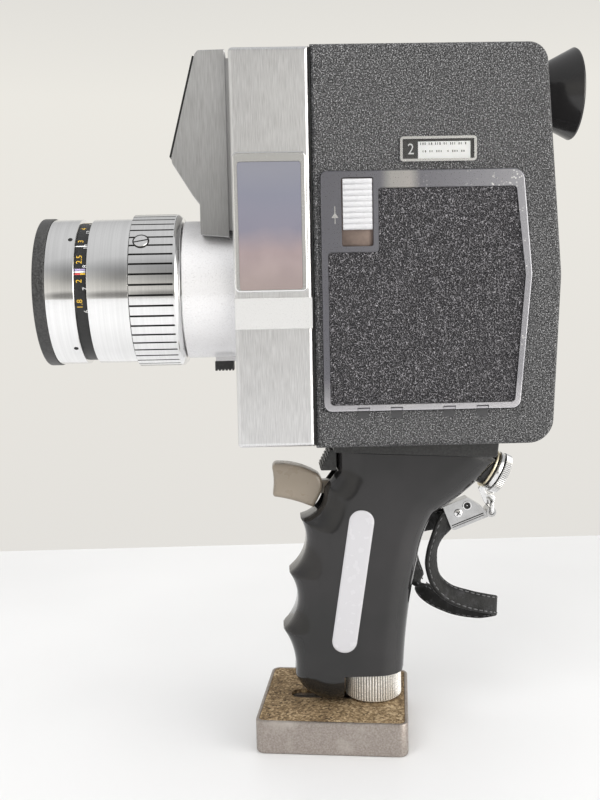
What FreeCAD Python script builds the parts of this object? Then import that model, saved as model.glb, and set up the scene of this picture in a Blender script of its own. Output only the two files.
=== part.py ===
import FreeCAD, Part
import math
import os

# A hand-held 8 mm cine camera with a zoom lens, a pistol grip and a table stand.
# Everything is drawn from the seam between the front housing and the rear casing, at
# mid height (lens towards -X, film door towards -Y, +Z up), and save() then moves it so
# that the origin is the centre of the stand's foot. Lengths are millimetres.

V = FreeCAD.Vector
X_AXIS = V(1, 0, 0)
Y_AXIS = V(0, 1, 0)
Z_AXIS = V(0, 0, 1)

# Driving dimensions
BODY_HALF_HEIGHT = 71.0
BODY_HALF_WIDTH = 30.0
BODY_REAR_TOP = 83.3
BODY_REAR_WAIST = 89.0
BODY_REAR_FOOT = 86.2
BODY_WAIST_Z = -10.0
WALL = 2.0
HOUSING_FRONT = -28.4
HOUSING_BACK = -0.5
HOUSING_HALF_HEIGHT = 70.2
HOUSING_HALF_WIDTH = 29.7
LENS_Z = -12.8
LENS_TUBE_R = 23.0
RING_BORE_R = 23.3
FILTER_R = 24.5
LENS_FRONT = -100.3
RIM_R = 27.8
FOCUS_R = 27.4
SCALE_R = 26.0
ZOOM_R = 28.8
FLUTES = 48
ZOOM_SCREW_X = -61.6
ZOOM_SCREW_ANGLE = 52.5
FINDER_Z = 58.5
DOOR_FACE = -31.3
DOOR_SEAT = -30.1
DOOR_PAN_BACK = -28.2
HINGE_Y = -30.7
HINGE_Z = -57.05
GRIP_HALF_WIDTH = 14.0
ROD_X = 22.3
ROD_R = 3.0
STAND_X = 7.0
STAND_WIDTH = 58.0
STAND_DEPTH = 54.0
STAND_TOP = -176.0
STAND_HEIGHT = 13.0
STAND_TURN = -7.5
STAND_SCREW_X = 3.0
SCREW_R = 3.175
SHUTTER_Z = -34.0
MOTOR_Z = -55.0
SMALL_PULLEY_R = 5.0
LARGE_PULLEY_R = 12.0
PULLEY_X = -2.9
PULLEY_WIDTH = 2.2
LATCH_LOW = 6.7
LATCH_HIGH = 24.5
LATCH_RIBS = 9
BATTERY_Z = 35.6
DIAL_CENTRE = V(27.5, -27.5, 34.4)
SPINDLE_X = 44.0
SPINDLE_Z = -20.0

FOOT_CENTRE = V(STAND_X, 0, STAND_TOP - STAND_HEIGHT)


def save(name, shape):
    moved = shape.copy()
    moved.translate(-FOOT_CENTRE)
    moved.exportStep("parts/" + name + ".step")


# ---------------------------------------------------------------- drawing helpers

def box(x0, x1, y0, y1, z0, z1):
    return Part.makeBox(x1 - x0, y1 - y0, z1 - z0, V(x0, y0, z0))


def rod(start, axis, radius, length):
    return Part.makeCylinder(radius, length, start, axis)


def tube(start, axis, outer, inner, length):
    return rod(start, axis, outer, length).cut(rod(start, axis, inner, length))


def lens_ring(x0, x1, outer, inner):
    return tube(V(x0, 0, LENS_Z), X_AXIS, outer, inner, x1 - x0)


def rounded_wire(corners):
    """A closed wire in the XZ plane through (x, z, radius) corners."""
    ends = []
    count = len(corners)
    for i in range(count):
        here = V(corners[i][0], 0, corners[i][1])
        before = V(corners[i - 1][0], 0, corners[i - 1][1])
        after = V(corners[(i + 1) % count][0], 0, corners[(i + 1) % count][1])
        radius = corners[i][2]
        if radius == 0:
            ends.append((here, here, here, 0))
            continue
        to_before = (before - here).normalize()
        to_after = (after - here).normalize()
        half = to_before.getAngle(to_after) / 2
        setback = radius / math.tan(half)
        centre = here + (to_before + to_after).normalize() * (radius / math.sin(half))
        middle = centre + (here - centre).normalize() * radius
        ends.append((here + to_before * setback, middle, here + to_after * setback, radius))
    edges = []
    for i in range(count):
        first, middle, last, radius = ends[i]
        if radius > 0:
            edges.append(Part.Arc(first, middle, last).toShape())
        edges.append(Part.LineSegment(last, ends[(i + 1) % count][0]).toShape())
    return Part.Wire(edges)


def path_wire(start, steps):
    """A closed wire in the XZ plane: a step is (x, z) for a line, or a middle and an end for an arc."""
    here = V(start[0], 0, start[1])
    last = steps[-1][-1] if isinstance(steps[-1][0], tuple) else steps[-1]
    closing = [] if last == start else [start]
    edges = []
    for step in steps + closing:
        if isinstance(step[0], tuple):
            middle = V(step[0][0], 0, step[0][1])
            there = V(step[1][0], 0, step[1][1])
            edges.append(Part.Arc(here, middle, there).toShape())
        else:
            there = V(step[0], 0, step[1])
            edges.append(Part.LineSegment(here, there).toShape())
        here = there
    return Part.Wire(edges)


def prism(wire, y0, y1):
    face = Part.Face(wire)
    solid = face.extrude(V(0, y1 - y0, 0))
    solid.translate(V(0, y0, 0))
    return solid


def soften(shape, radius, y_planes):
    """Round the edges that lie in the planes y = each of y_planes."""
    edges = []
    for edge in shape.Edges:
        for y in y_planes:
            if all(abs(v.Y - y) < 1e-6 for v in edge.Vertexes):
                edges.append(edge)
    return shape.makeFillet(radius, edges)


def star(centre, axis, outer, inner, points, length):
    """A knurled or toothed wheel, as a pointed outline pushed along its axis."""
    side = Y_AXIS if abs(axis.dot(Y_AXIS)) < 0.5 else X_AXIS
    other = axis.cross(side)
    corners = []
    for i in range(2 * points):
        radius = outer if i % 2 == 0 else inner
        angle = math.pi * i / points
        corners.append(centre + side * (radius * math.cos(angle)) + other * (radius * math.sin(angle)))
    return Part.Face(Part.makePolygon(corners + corners[:1])).extrude(axis * length)


def inset(corners, gap):
    """The same outline moved inwards by gap, for convex outlines."""
    count = len(corners)
    middle_x = sum(c[0] for c in corners) / count
    middle_z = sum(c[1] for c in corners) / count
    result = []
    for i in range(count):
        x, z, radius = corners[i]
        x0, z0, _ = corners[i - 1]
        x1, z1, _ = corners[(i + 1) % count]
        lines = []
        for ax, az, bx, bz in ((x0, z0, x, z), (x, z, x1, z1)):
            length = math.hypot(bx - ax, bz - az)
            nx = -(bz - az) / length
            nz = (bx - ax) / length
            if (middle_x - ax) * nx + (middle_z - az) * nz < 0:
                nx = -nx
                nz = -nz
            lines.append((nx, nz, nx * ax + nz * az + gap))
        (a, b, c), (d, e, f) = lines
        det = a * e - b * d
        result.append(((c * e - b * f) / det, (a * f - c * d) / det, max(radius - gap, 0)))
    return result


# ---------------------------------------------------------------- rear casing

SHELL_OUTLINE = [
    (0, -BODY_HALF_HEIGHT, 0),
    (0, BODY_HALF_HEIGHT, 0),
    (BODY_REAR_TOP, BODY_HALF_HEIGHT, 7),
    (BODY_REAR_WAIST, BODY_WAIST_Z, 30),
    (BODY_REAR_FOOT, -BODY_HALF_HEIGHT, 9),
]
DOOR_OUTLINE = [
    (2.9, -57.6, 3),
    (2.9, 27.2, 2),
    (74.6, 27.2, 4),
    (77.8, -9.7, 8),
    (73.6, -57.6, 3),
]
WINDOW_OUTLINE = [
    (31, 30.1, 1.2),
    (31, 38.7, 1.2),
    (58, 38.7, 1.2),
    (58, 30.1, 1.2),
]
SEAT_GAP = 0.4
DOOR_LIP = 1.2
HINGE_PIN_R = 0.3
HINGE_BARREL_R = 0.5
CASE_KNUCKLES = ((15, 19), (27, 31), (46, 50), (58, 62))
LEAF_BACK = -29.4
LEAF_LOW = -60.4


def body_shell():
    outer = soften(prism(rounded_wire(SHELL_OUTLINE), -BODY_HALF_WIDTH, BODY_HALF_WIDTH), 2.2,
                   (-BODY_HALF_WIDTH, BODY_HALF_WIDTH))
    room = prism(rounded_wire(inset(SHELL_OUTLINE, WALL)), -BODY_HALF_WIDTH + WALL, BODY_HALF_WIDTH - WALL)
    mouth = box(-1, 4, -BODY_HALF_WIDTH + WALL, BODY_HALF_WIDTH - WALL,
                -BODY_HALF_HEIGHT + WALL, BODY_HALF_HEIGHT - WALL)
    shell = outer.cut(room.fuse(mouth))
    shell = shell.cut(prism(rounded_wire(inset(DOOR_OUTLINE, DOOR_LIP - SEAT_GAP)), -31, -27))
    shell = shell.cut(prism(rounded_wire(inset(WINDOW_OUTLINE, 0.9)), -31, -27))
    shell = shell.cut(rod(V(70, 0, FINDER_Z), X_AXIS, 9.0, 30))
    shell = shell.cut(rod(V(ROD_X, 0, -75), Z_AXIS, 6.0, 10))
    leaf_recesses = [box(x0, x1, -31, LEAF_BACK, LEAF_LOW, HINGE_Z + 1) for x0, x1 in CASE_KNUCKLES]
    rim_relief = box(2.4, 75, -31, -29.75, HINGE_Z - 0.9, HINGE_Z + 0.6)
    return shell.cut(leaf_recesses + [rim_relief])


def seam_gasket():
    outer = box(HOUSING_BACK, 0, -29.3, 29.3, -69.8, 69.8)
    return outer.cut(box(-1, 1, -27.2, 27.2, -67.6, 67.6))


def case_screws():
    screws = []
    for x, z in ((6, -64), (78, -62), (6, 64), (76, 64)):
        head = rod(V(x, BODY_HALF_WIDTH, z), Y_AXIS, 2.2, 0.8)
        slot = box(x - 3, x + 3, BODY_HALF_WIDTH + 0.4, BODY_HALF_WIDTH + 1, z - 0.3, z + 0.3)
        screws.append(head.cut(slot))
    return Part.makeCompound(screws)


# ---------------------------------------------------------------- front housing and brow

HOUSING_OUTLINE = [
    (HOUSING_BACK, -HOUSING_HALF_HEIGHT, 0),
    (HOUSING_FRONT, -HOUSING_HALF_HEIGHT, 1.5),
    (HOUSING_FRONT, HOUSING_HALF_HEIGHT, 1.5),
    (HOUSING_BACK, HOUSING_HALF_HEIGHT, 0),
]
PANEL_OUTLINE = [
    (-27.9, -14.4, 1.8),
    (-27.9, 34.3, 1.8),
    (-2.1, 34.3, 1.8),
    (-2.1, -14.4, 1.8),
]
PLATE_OUTLINE = [
    (-26.3, -13.7, 1.0),
    (-26.3, 30.9, 1.0),
    (-3.9, 30.9, 1.0),
    (-3.9, -13.7, 1.0),
]
HOOD_OUTLINE = [
    (-29.7, 5.4, 0.4),
    (-40, 6.4, 0.6),
    (-40, 17.6, 0.8),
    (-42.4, 20.4, 0.8),
    (-49.4, 31.8, 1.2),
    (-49.6, 33.8, 1.2),
    (-40.3, 69.4, 1.2),
    (-39.2, 70.6, 0.8),
    (-29.7, 70.8, 0.4),
]
HOOD_HALF_WIDTH = 24.0


def front_housing():
    outer = soften(prism(rounded_wire(HOUSING_OUTLINE), -HOUSING_HALF_WIDTH, HOUSING_HALF_WIDTH), 1.5,
                   (-HOUSING_HALF_WIDTH, HOUSING_HALF_WIDTH))
    room = box(HOUSING_FRONT + WALL, 1, -HOUSING_HALF_WIDTH + WALL, HOUSING_HALF_WIDTH - WALL,
               -HOUSING_HALF_HEIGHT + WALL, HOUSING_HALF_HEIGHT - WALL)
    shell = outer.cut(room)
    shell = shell.cut(rod(V(-40, 0, LENS_Z), X_AXIS, 24.5, 20))
    return shell.cut(box(-30, -25, -12, 12, 44, 60))


def side_trim_bands():
    bands = []
    for y in (-HOUSING_HALF_WIDTH - 0.5, HOUSING_HALF_WIDTH):
        bands.append(box(HOUSING_FRONT + 0.2, HOUSING_BACK - 0.2, y, y + 0.5, -27.5, -16.5))
    return Part.makeCompound(bands)


def panel_bezel():
    frame = soften(prism(rounded_wire(PANEL_OUTLINE), -31.1, -HOUSING_HALF_WIDTH), 0.6, (-31.1,))
    return frame.cut(prism(rounded_wire(PLATE_OUTLINE), -32, -29))


def panel_plate():
    return prism(rounded_wire(inset(PLATE_OUTLINE, 0.1)), -30.6, -HOUSING_HALF_WIDTH)


def meter_hood():
    outer = soften(prism(rounded_wire(HOOD_OUTLINE), -HOOD_HALF_WIDTH, HOOD_HALF_WIDTH), 0.35,
                   (-HOOD_HALF_WIDTH, HOOD_HALF_WIDTH))
    room = prism(rounded_wire([(-28, 30, 0), (-44, 34, 0), (-37.2, 68.6, 0), (-28, 68.6, 0)]),
                 -HOOD_HALF_WIDTH + WALL, HOOD_HALF_WIDTH - WALL)
    window = prism(rounded_wire([(-51, 40, 0), (-42, 38, 0), (-37, 64, 0), (-43, 66, 0)]), -14, 14)
    hollow = rod(V(-52, 0, LENS_Z), X_AXIS, 27.0, 26)
    neck = box(-29.7, HOUSING_FRONT, -22.5, 22.5, 8, 68).cut(box(-30, -28, -20, 20, 12, 66))
    return outer.cut(room).cut(window).fuse(neck).cut(hollow)


def leaning_strip(low, high, dx, dz):
    """The corners of a thin sheet from low to high; dx and dz lead to its back face."""
    return [(*low, 0), (*high, 0), (high[0] + dx, high[1] + dz, 0), (low[0] + dx, low[1] + dz, 0)]


def hood_front_plate():
    plate = prism(rounded_wire(leaning_strip((-50.4, 34.2), (-41.3, 69.0), 0.75, -0.2)), -22.6, 22.6)
    opening = prism(rounded_wire([(-55, 43, 0), (-44, 41, 0), (-38, 61, 0), (-46, 64, 0)]), -11.2, 11.2)
    return plate.cut(opening)


def meter_window():
    return prism(rounded_wire(leaning_strip((-47.6, 44.2), (-43.6, 60.0), 2.0, -0.5)), -10.8, 10.8)


def exposure_meter():
    movement = rod(V(-24, -12, 34), X_AXIS, 10.0, 16)
    cell = rod(V(-40, 0, 51), X_AXIS, 6.0, 6)
    return Part.makeCompound([movement, cell])


# ---------------------------------------------------------------- film door and latch

FRAME_INNER = [
    (23.1, 21.2, 1.0),
    (72.0, 21.2, 1.5),
    (75.4, -10, 4),
    (71.7, -55.4, 1.5),
    (5.1, -55.4, 1.5),
    (5.1, -1, 1.0),
    (23.1, -1, 1.0),
]
LATCH_OUTLINE = [
    (10.1, 1.0, 0.8),
    (10.1, 24.9, 0.8),
    (21.3, 24.9, 0.8),
    (21.3, 1.0, 0.8),
]


PANEL_GAP = 0.15
PIN_SPANS = ((CASE_KNUCKLES[0][0], CASE_KNUCKLES[1][1]), (CASE_KNUCKLES[2][0], CASE_KNUCKLES[3][1]))


def film_door_frame():
    """The door: a rim round the panel's field, and a pan behind it. Its lower rim turns on two pins."""
    frame = prism(rounded_wire(DOOR_OUTLINE), DOOR_FACE, DOOR_SEAT)
    frame = soften(frame, 0.4, (DOOR_FACE,))
    frame = frame.cut(prism(rounded_wire(FRAME_INNER), -32, -30))
    frame = frame.fuse(prism(rounded_wire(inset(DOOR_OUTLINE, DOOR_LIP)), DOOR_SEAT, DOOR_PAN_BACK))
    frame = frame.cut(prism(rounded_wire(LATCH_OUTLINE), -32, -29.4))
    frame = frame.cut(box(13.8, 17.2, -30, -28, 13.4, 22.4))
    notches = [box(x0 - 0.2, x1 + 0.2, -32, DOOR_SEAT, -58, HINGE_Z + 0.75) for x0, x1 in CASE_KNUCKLES]
    bores = [rod(V(x0, HINGE_Y, HINGE_Z), X_AXIS, HINGE_PIN_R + 0.04, x1 - x0) for x0, x1 in PIN_SPANS]
    return frame.cut(notches + bores)


def film_door_panel():
    """The covered L-shaped field inside the rim, a hair smaller than its opening."""
    field = Part.Face(rounded_wire(FRAME_INNER)).makeOffset2D(-PANEL_GAP)
    return prism(field.OuterWire, -30.9, DOOR_SEAT)


def latch_slide():
    button = box(10.5, 20.9, -31.6, -29.95, LATCH_LOW, LATCH_HIGH)
    rib_pitch = (LATCH_HIGH - LATCH_LOW) / LATCH_RIBS
    for i in range(LATCH_RIBS):
        z = LATCH_LOW + rib_pitch * (i + 0.5)
        button = button.fuse(rod(V(10.5, -31.6, z), X_AXIS, 0.55, 10.4))
    stem = box(14.2, 16.8, -30.2, -26.8, 19, 22)
    tongue = box(13, 18, -27.6, -26.8, 18, 25.9)
    return button.fuse([stem, tongue])


def door_hinge():
    """Two pins in notches of the door's lower rim, each held by two knuckles fixed to the casing."""
    pins = [rod(V(x0, HINGE_Y, HINGE_Z), X_AXIS, HINGE_PIN_R, x1 - x0) for x0, x1 in PIN_SPANS]
    knuckles = []
    for x0, x1 in CASE_KNUCKLES:
        barrel = rod(V(x0, HINGE_Y, HINGE_Z), X_AXIS, HINGE_BARREL_R, x1 - x0)
        arm = box(x0, x1, HINGE_Y, LEAF_BACK, HINGE_Z - HINGE_BARREL_R, HINGE_Z)
        leaf = box(x0, x1, LEAF_BACK - 0.5, LEAF_BACK, LEAF_LOW, HINGE_Z)
        knuckles.append(barrel.fuse([arm, leaf]))
    return Part.makeCompound([pins[0].fuse(knuckles[:2]), pins[1].fuse(knuckles[2:])])


# ---------------------------------------------------------------- footage window

def chart_bezel():
    frame = prism(rounded_wire(WINDOW_OUTLINE), -30.8, -30.0)
    return frame.cut(prism(rounded_wire(inset(WINDOW_OUTLINE, 0.9)), -32, -29))


def chart_glass():
    return prism(rounded_wire(inset(WINDOW_OUTLINE, 0.95)), -30.4, -29.8)


def chart_card():
    return box(37.4, 56.4, -29.0, -28.6, 31.2, 37.6)


def footage_dial():
    disc = rod(DIAL_CENTRE, Y_AXIS, 9.6, 0.7)
    return disc.fuse(rod(DIAL_CENTRE, Y_AXIS, 1.2, 3.4))


# ---------------------------------------------------------------- eyepiece and finder

def eyecup():
    outer = Part.makeCone(9.9, 17.0, 14.6, V(86, 0, FINDER_Z), X_AXIS)
    lip = rod(V(100.6, 0, FINDER_Z), X_AXIS, 17.0, 0.6)
    bowl = Part.makeCone(9.9, 15.7, 9.5, V(91.8, 0, FINDER_Z), X_AXIS)
    throat = rod(V(85, 0, FINDER_Z), X_AXIS, 8.5, 8)
    return outer.fuse(lip).cut(bowl.fuse(throat))


def eyepiece_sleeve():
    return tube(V(78.5, 0, FINDER_Z), X_AXIS, 8.5, 7.2, 13.2)


def eyepiece_lens():
    disc = rod(V(85, 0, FINDER_Z), X_AXIS, 7.2, 2.0)
    ball = Part.makeSphere(16, V(102.6, 0, FINDER_Z))
    crown = rod(V(80, 0, FINDER_Z), X_AXIS, 7.2, 10).common(ball)
    cap = crown.common(box(86.5, 87.9, -10, 10, FINDER_Z - 10, FINDER_Z + 10))
    return disc.fuse(cap).removeSplitter()


def finder_tube():
    return tube(V(-20, 0, FINDER_Z), X_AXIS, 8.2, 7.2, 98)


# ---------------------------------------------------------------- zoom lens

def lens_tube():
    tube_wall = lens_ring(-88.5, -20.5, LENS_TUBE_R, 21.0)
    return tube_wall.fuse(lens_ring(-81.0, -66.3, 27.3, LENS_TUBE_R))


LEVER_X = -31.8
LEVER_PIN_R = 1.2


def lens_mount_barrel():
    barrel = lens_ring(-47.2, HOUSING_FRONT, 26.0, LENS_TUBE_R)
    spigot = lens_ring(HOUSING_FRONT, -22, 24.4, LENS_TUBE_R)
    lever_plate = box(-37.0, HOUSING_FRONT, -5.5, 5.5, -40.0, -37.6).cut(lens_ring(-40, -20, 25.9, 1))
    pivot_hole = rod(V(LEVER_X, 0, -40.1), Z_AXIS, LEVER_PIN_R + 0.05, 1.3)
    return barrel.fuse([spigot, lever_plate]).cut(pivot_hole)


def zoom_ring():
    ring = lens_ring(-65.9, -47.8, ZOOM_R, RING_BORE_R)
    grooves = []
    for i in range(FLUTES):
        groove = box(-64.6, -49.4, -0.25, 0.25, LENS_Z + ZOOM_R - 0.7, LENS_Z + ZOOM_R + 0.7)
        groove.rotate(V(0, 0, LENS_Z), X_AXIS, 360 * (i + 0.5) / FLUTES)
        grooves.append(groove)
    ring = ring.cut(Part.makeCompound(grooves))
    return ring.cut(zoom_screw_blank(2.75, 26.6))


def zoom_screw_blank(radius, depth_radius):
    screw = rod(V(ZOOM_SCREW_X, 0, LENS_Z + depth_radius), Z_AXIS, radius, ZOOM_R - 0.05 - depth_radius)
    screw.rotate(V(0, 0, LENS_Z), X_AXIS, ZOOM_SCREW_ANGLE)
    return screw


def zoom_ring_screw():
    screw = rod(V(ZOOM_SCREW_X, 0, LENS_Z + 26.6), Z_AXIS, 2.6, 2.0)
    screw = screw.cut(box(ZOOM_SCREW_X - 3, ZOOM_SCREW_X + 3, -0.35, 0.35, LENS_Z + 28.0, LENS_Z + 29))
    screw.rotate(V(0, 0, LENS_Z), X_AXIS, ZOOM_SCREW_ANGLE)
    return screw


def distance_scale_ring():
    return lens_ring(-85.4, -81.3, SCALE_R, RING_BORE_R)


def focus_ring():
    back = lens_ring(-89.0, -85.4, FOCUS_R, RING_BORE_R)
    return back.fuse(lens_ring(-95.9, -89.0, FOCUS_R, 22.6))


def lens_front_rim():
    return lens_ring(LENS_FRONT, -95.9, RIM_R, FILTER_R)


def domed_glass(x_front, x_back, radius, ball):
    body = rod(V(x_front, 0, LENS_Z), X_AXIS, radius, x_back - x_front)
    return body.common(Part.makeSphere(ball, V(x_front + ball, 0, LENS_Z)))


def front_lens():
    return domed_glass(-95.2, -89.6, 22.6, 60)


def variator_lens():
    return domed_glass(-74, -68, 20.5, 55)


def fixed_optics():
    """The rear lens in its cell, the beam-splitting prism, and the mirror that feeds the finder."""
    rear = lens_ring(-42, -34, 21.0, 14.0).fuse(domed_glass(-41, -36, 14.0, 40))
    splitter = box(-14, -6, -4.5, 4.5, LENS_Z - 4.5, LENS_Z + 4.5)
    mirror = prism(rounded_wire([(-25.6, 53.2, 0), (-24.8, 52.6, 0), (-21.2, 63.4, 0), (-22, 64, 0)]), -6, 6)
    return Part.makeCompound([rear, splitter, mirror])


def lens_lever():
    lever = box(-37.4, -30.3, -4.5, 4.5, -43.8, -40.3)
    for i in range(5):
        x = -36.6 + 1.3 * i
        lever = lever.cut(box(x, x + 0.5, -5, 5, -44, -43.2))
    return lever.fuse(rod(V(LEVER_X, 0, -40.4), Z_AXIS, LEVER_PIN_R, 1.5))


# ---------------------------------------------------------------- drive, shutter and film gate

SHAFT_R = 1.5
SHAFT_BORE_R = 1.56


def motor():
    """The motor with its end plate, which also holds the shutter's bearing."""
    can = rod(V(-26, 0, MOTOR_Z), X_AXIS, 12.0, 19.8)
    plate = box(-6.4, -4.4, -9, 9, -68.1, -26.5)
    frame = can.fuse(plate)
    frame = frame.cut(rod(V(-12, 0, MOTOR_Z), X_AXIS, SHAFT_BORE_R, 10))
    return frame.cut(rod(V(-7, 0, SHUTTER_Z), X_AXIS, SHAFT_BORE_R, 6))


def motor_pulley():
    wheel = rod(V(PULLEY_X, 0, MOTOR_Z), X_AXIS, SMALL_PULLEY_R, PULLEY_WIDTH)
    return wheel.fuse(rod(V(-11.5, 0, MOTOR_Z), X_AXIS, SHAFT_R, 9))


def belt_outline(grow):
    """Outline round the motor pulley and the shutter pulley, grow clear of both."""
    low_r = SMALL_PULLEY_R + grow
    high_r = LARGE_PULLEY_R + grow
    gap = SHUTTER_Z - MOTOR_Z
    lean = math.asin((high_r - low_r) / gap)
    edges = []
    points = []
    for side in (-1, 1):
        y_dir = side * math.cos(lean)
        z_dir = -math.sin(lean)
        low_point = V(0, low_r * y_dir, MOTOR_Z + low_r * z_dir)
        high_point = V(0, high_r * y_dir, SHUTTER_Z + high_r * z_dir)
        points.append((low_point, high_point))
    (low_a, high_a), (low_b, high_b) = points
    edges.append(Part.LineSegment(low_a, high_a).toShape())
    edges.append(Part.Arc(high_a, V(0, 0, SHUTTER_Z + high_r), high_b).toShape())
    edges.append(Part.LineSegment(high_b, low_b).toShape())
    edges.append(Part.Arc(low_b, V(0, 0, MOTOR_Z - low_r), low_a).toShape())
    return Part.Wire(edges)


def drive_belt():
    outer = Part.Face(belt_outline(0.9)).extrude(V(1.4, 0, 0))
    inner = Part.Face(belt_outline(0.06)).extrude(V(1.4, 0, 0))
    belt = outer.cut(inner)
    belt.translate(V(-2.5, 0, 0))
    return belt


def shutter():
    """The shutter blade, its shaft and its pulley, pressed together."""
    shaft = rod(V(-6.2, 0, SHUTTER_Z), X_AXIS, SHAFT_R, 8.6)
    pulley = rod(V(PULLEY_X, 0, SHUTTER_Z), X_AXIS, LARGE_PULLEY_R, PULLEY_WIDTH)
    disc = rod(V(0.4, 0, SHUTTER_Z), X_AXIS, 24.6, 0.5)
    gap = box(0, 2, 3, 30, SHUTTER_Z - 30, SHUTTER_Z - 3)
    return shaft.fuse([pulley, disc.cut(gap)])


def gate_plate():
    plate = box(3.0, 4.2, -12, 12.9, -44, 12)
    plate = plate.cut(box(2, 6, -3, 3, LENS_Z - 2.2, LENS_Z + 2.2))
    return plate.cut(box(2, 6, 5.2, 7.8, -22, -11))


def film_claw():
    return box(1.5, 2.5, 4.5, 8.5, -30, -10).fuse(box(2.3, 5.0, 6.0, 7.0, -17, -16))


def chassis():
    """The plate behind the film chamber, the chamber's roof, and the battery tray on top of it."""
    plate = box(3.0, 80, 13.0, 14.4, -66, 24.6)
    plate = plate.cut(rod(V(SPINDLE_X, 10, SPINDLE_Z), Y_AXIS, 3.9, 8))
    roof = box(3.0, 80, -25.4, 27.9, 24.1, 25.3)
    post = box(66, 69, -12, 12, 24.8, 50)
    tray = box(10, 66.5, -25.2, 25.2, 25.2, 43.6).cut(box(11.2, 65.3, -24, 26, 28.2, 44))
    tray = tray.cut(rod(V(27.5, -26, 34.4), Y_AXIS, 1.5, 3))
    return plate.fuse([roof, post, tray])


def take_up_spindle():
    spindle = rod(V(SPINDLE_X, 5.2, SPINDLE_Z), Y_AXIS, 3.4, 11)
    for i in range(3):
        dog = box(SPINDLE_X - 0.6, SPINDLE_X + 0.6, 5.2, 9.2, SPINDLE_Z, SPINDLE_Z + 4.2)
        dog.rotate(V(SPINDLE_X, 0, SPINDLE_Z), Y_AXIS, 120 * i)
        spindle = spindle.fuse(dog)
    return spindle.fuse(star(V(SPINDLE_X, 15.2, SPINDLE_Z), Y_AXIS, 14.5, 12.8, 40, 2.4))


def batteries():
    cells = []
    for y in (-15.5, 0, 15.5):
        cell = rod(V(12.5, y, BATTERY_Z), X_AXIS, 7.1, 48.5)
        cells.append(cell.fuse(rod(V(61, y, BATTERY_Z), X_AXIS, 2.7, 1.6)))
    return Part.makeCompound(cells)


# ---------------------------------------------------------------- grip and trigger

GRIP_TOP_FRONT = (8.6, -75.4)
GRIP_STEPS = [
    (68.6, -78.6),
    (71.2, -80.6),
    ((57.5, -93.8), (46.2, -101.4)),
    ((42.2, -109.5), (39.7, -119.5)),
    ((36.6, -136), (33.9, -163.6)),
    (9.9, -163.6),
    (9.7, -175.0),
    ((-1.6, -173.4), (-9.0, -165.0)),
    ((-9.6, -155), (-13.4, -146.4)),
    ((-7.6, -134.2), (-10.6, -123.8)),
    ((-3.8, -111.4), (-5.8, -102.2)),
    ((1.6, -97.4), (3.4, -90.2)),
    (8.6, -83.4),
]


def grip_blank(y0, y1):
    return prism(path_wire(GRIP_TOP_FRONT, GRIP_STEPS), y0, y1)


def cap_cylinder(start, length, radius):
    """A cylinder on the slanted axis of the strap screw, start along it from the grip's rear face."""
    return rod(CAP_BASE + CAP_AXIS * start, CAP_AXIS, radius, length)


CAP_AXIS = V(0.884, 0, -0.468).normalize()
CAP_BASE = V(68.8, 0, -84.9)
PILL_OUTLINE = [
    (13.1, -97.0, 4.7),
    (22.8, -98.4, 4.7),
    (14.2, -154.4, 4.7),
    (4.5, -153.0, 4.7),
]


def grip_half(side):
    y0, y1 = sorted((0.0, side * GRIP_HALF_WIDTH))
    half = grip_blank(y0, y1)
    half = half.cut(rod(V(ROD_X, 0, -180), Z_AXIS, ROD_R + 0.3, 120))
    half = half.cut(box(-1, 9.5, -5.4, 5.4, -99.6, -83.0))
    half = half.cut(box(9.4, 18.6, -3.0, 3.0, -93.6, -87.4))
    half = half.cut(rod(V(STAND_SCREW_X, 0, -180), Z_AXIS, 5.0, 17))
    half = half.cut(cap_cylinder(-6, 14, 7.0))
    face = side * GRIP_HALF_WIDTH
    return half.cut(prism(rounded_wire(PILL_OUTLINE), face - 0.8, face + 0.8))


def grip_left():
    return grip_half(-1)


def grip_right():
    return grip_half(1)


def grip_inlays():
    pills = []
    for side in (-1, 1):
        y0, y1 = sorted((side * (GRIP_HALF_WIDTH - 0.8), side * (GRIP_HALF_WIDTH + 0.15)))
        pills.append(prism(rounded_wire(inset(PILL_OUTLINE, 0.1)), y0, y1))
    return Part.makeCompound(pills)


def grip_saddle():
    wedge = prism(rounded_wire([
        (7, -71.05, 0.5),
        (69.8, -71.05, 0.5),
        (69.0, -78.3, 1.2),
        (7, -74.9, 0.5),
    ]), -16, 16)
    wedge = soften(wedge, 0.45, (-16, 16))
    return wedge.cut(rod(V(ROD_X, 0, -80), Z_AXIS, ROD_R + 0.3, 20)).cut(cap_cylinder(-8, 16, 8.1))


def finger_stop():
    block = prism(rounded_wire([
        (5.9, -75.2, 0.6),
        (1.8, -83.0, 0.6),
        (8.3, -83.0, 0.2),
        (8.3, -75.2, 0.2),
    ]), -8, 8)
    for i in range(6):
        block = block.cut(rod(V(5.6 - 0.62 * i, -9, -76.3 - 1.18 * i), Y_AXIS, 0.35, 18))
    return block


def grip_screw():
    """The long clamping screw of the grip with its knurled knob."""
    knob = star(V(ROD_X, 0, -175.4), Z_AXIS, 11.2, 10.85, 84, 11.2)
    return knob.fuse(rod(V(ROD_X, 0, -166), Z_AXIS, ROD_R, 99.4))


def thread_bushes():
    top = tube(V(ROD_X, 0, -71.0), Z_AXIS, 6.0, ROD_R + 0.06, 7)
    foot = tube(V(STAND_SCREW_X, 0, -173.4), Z_AXIS, 5.0, SCREW_R, 10)
    return Part.makeCompound([top, foot])


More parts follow.
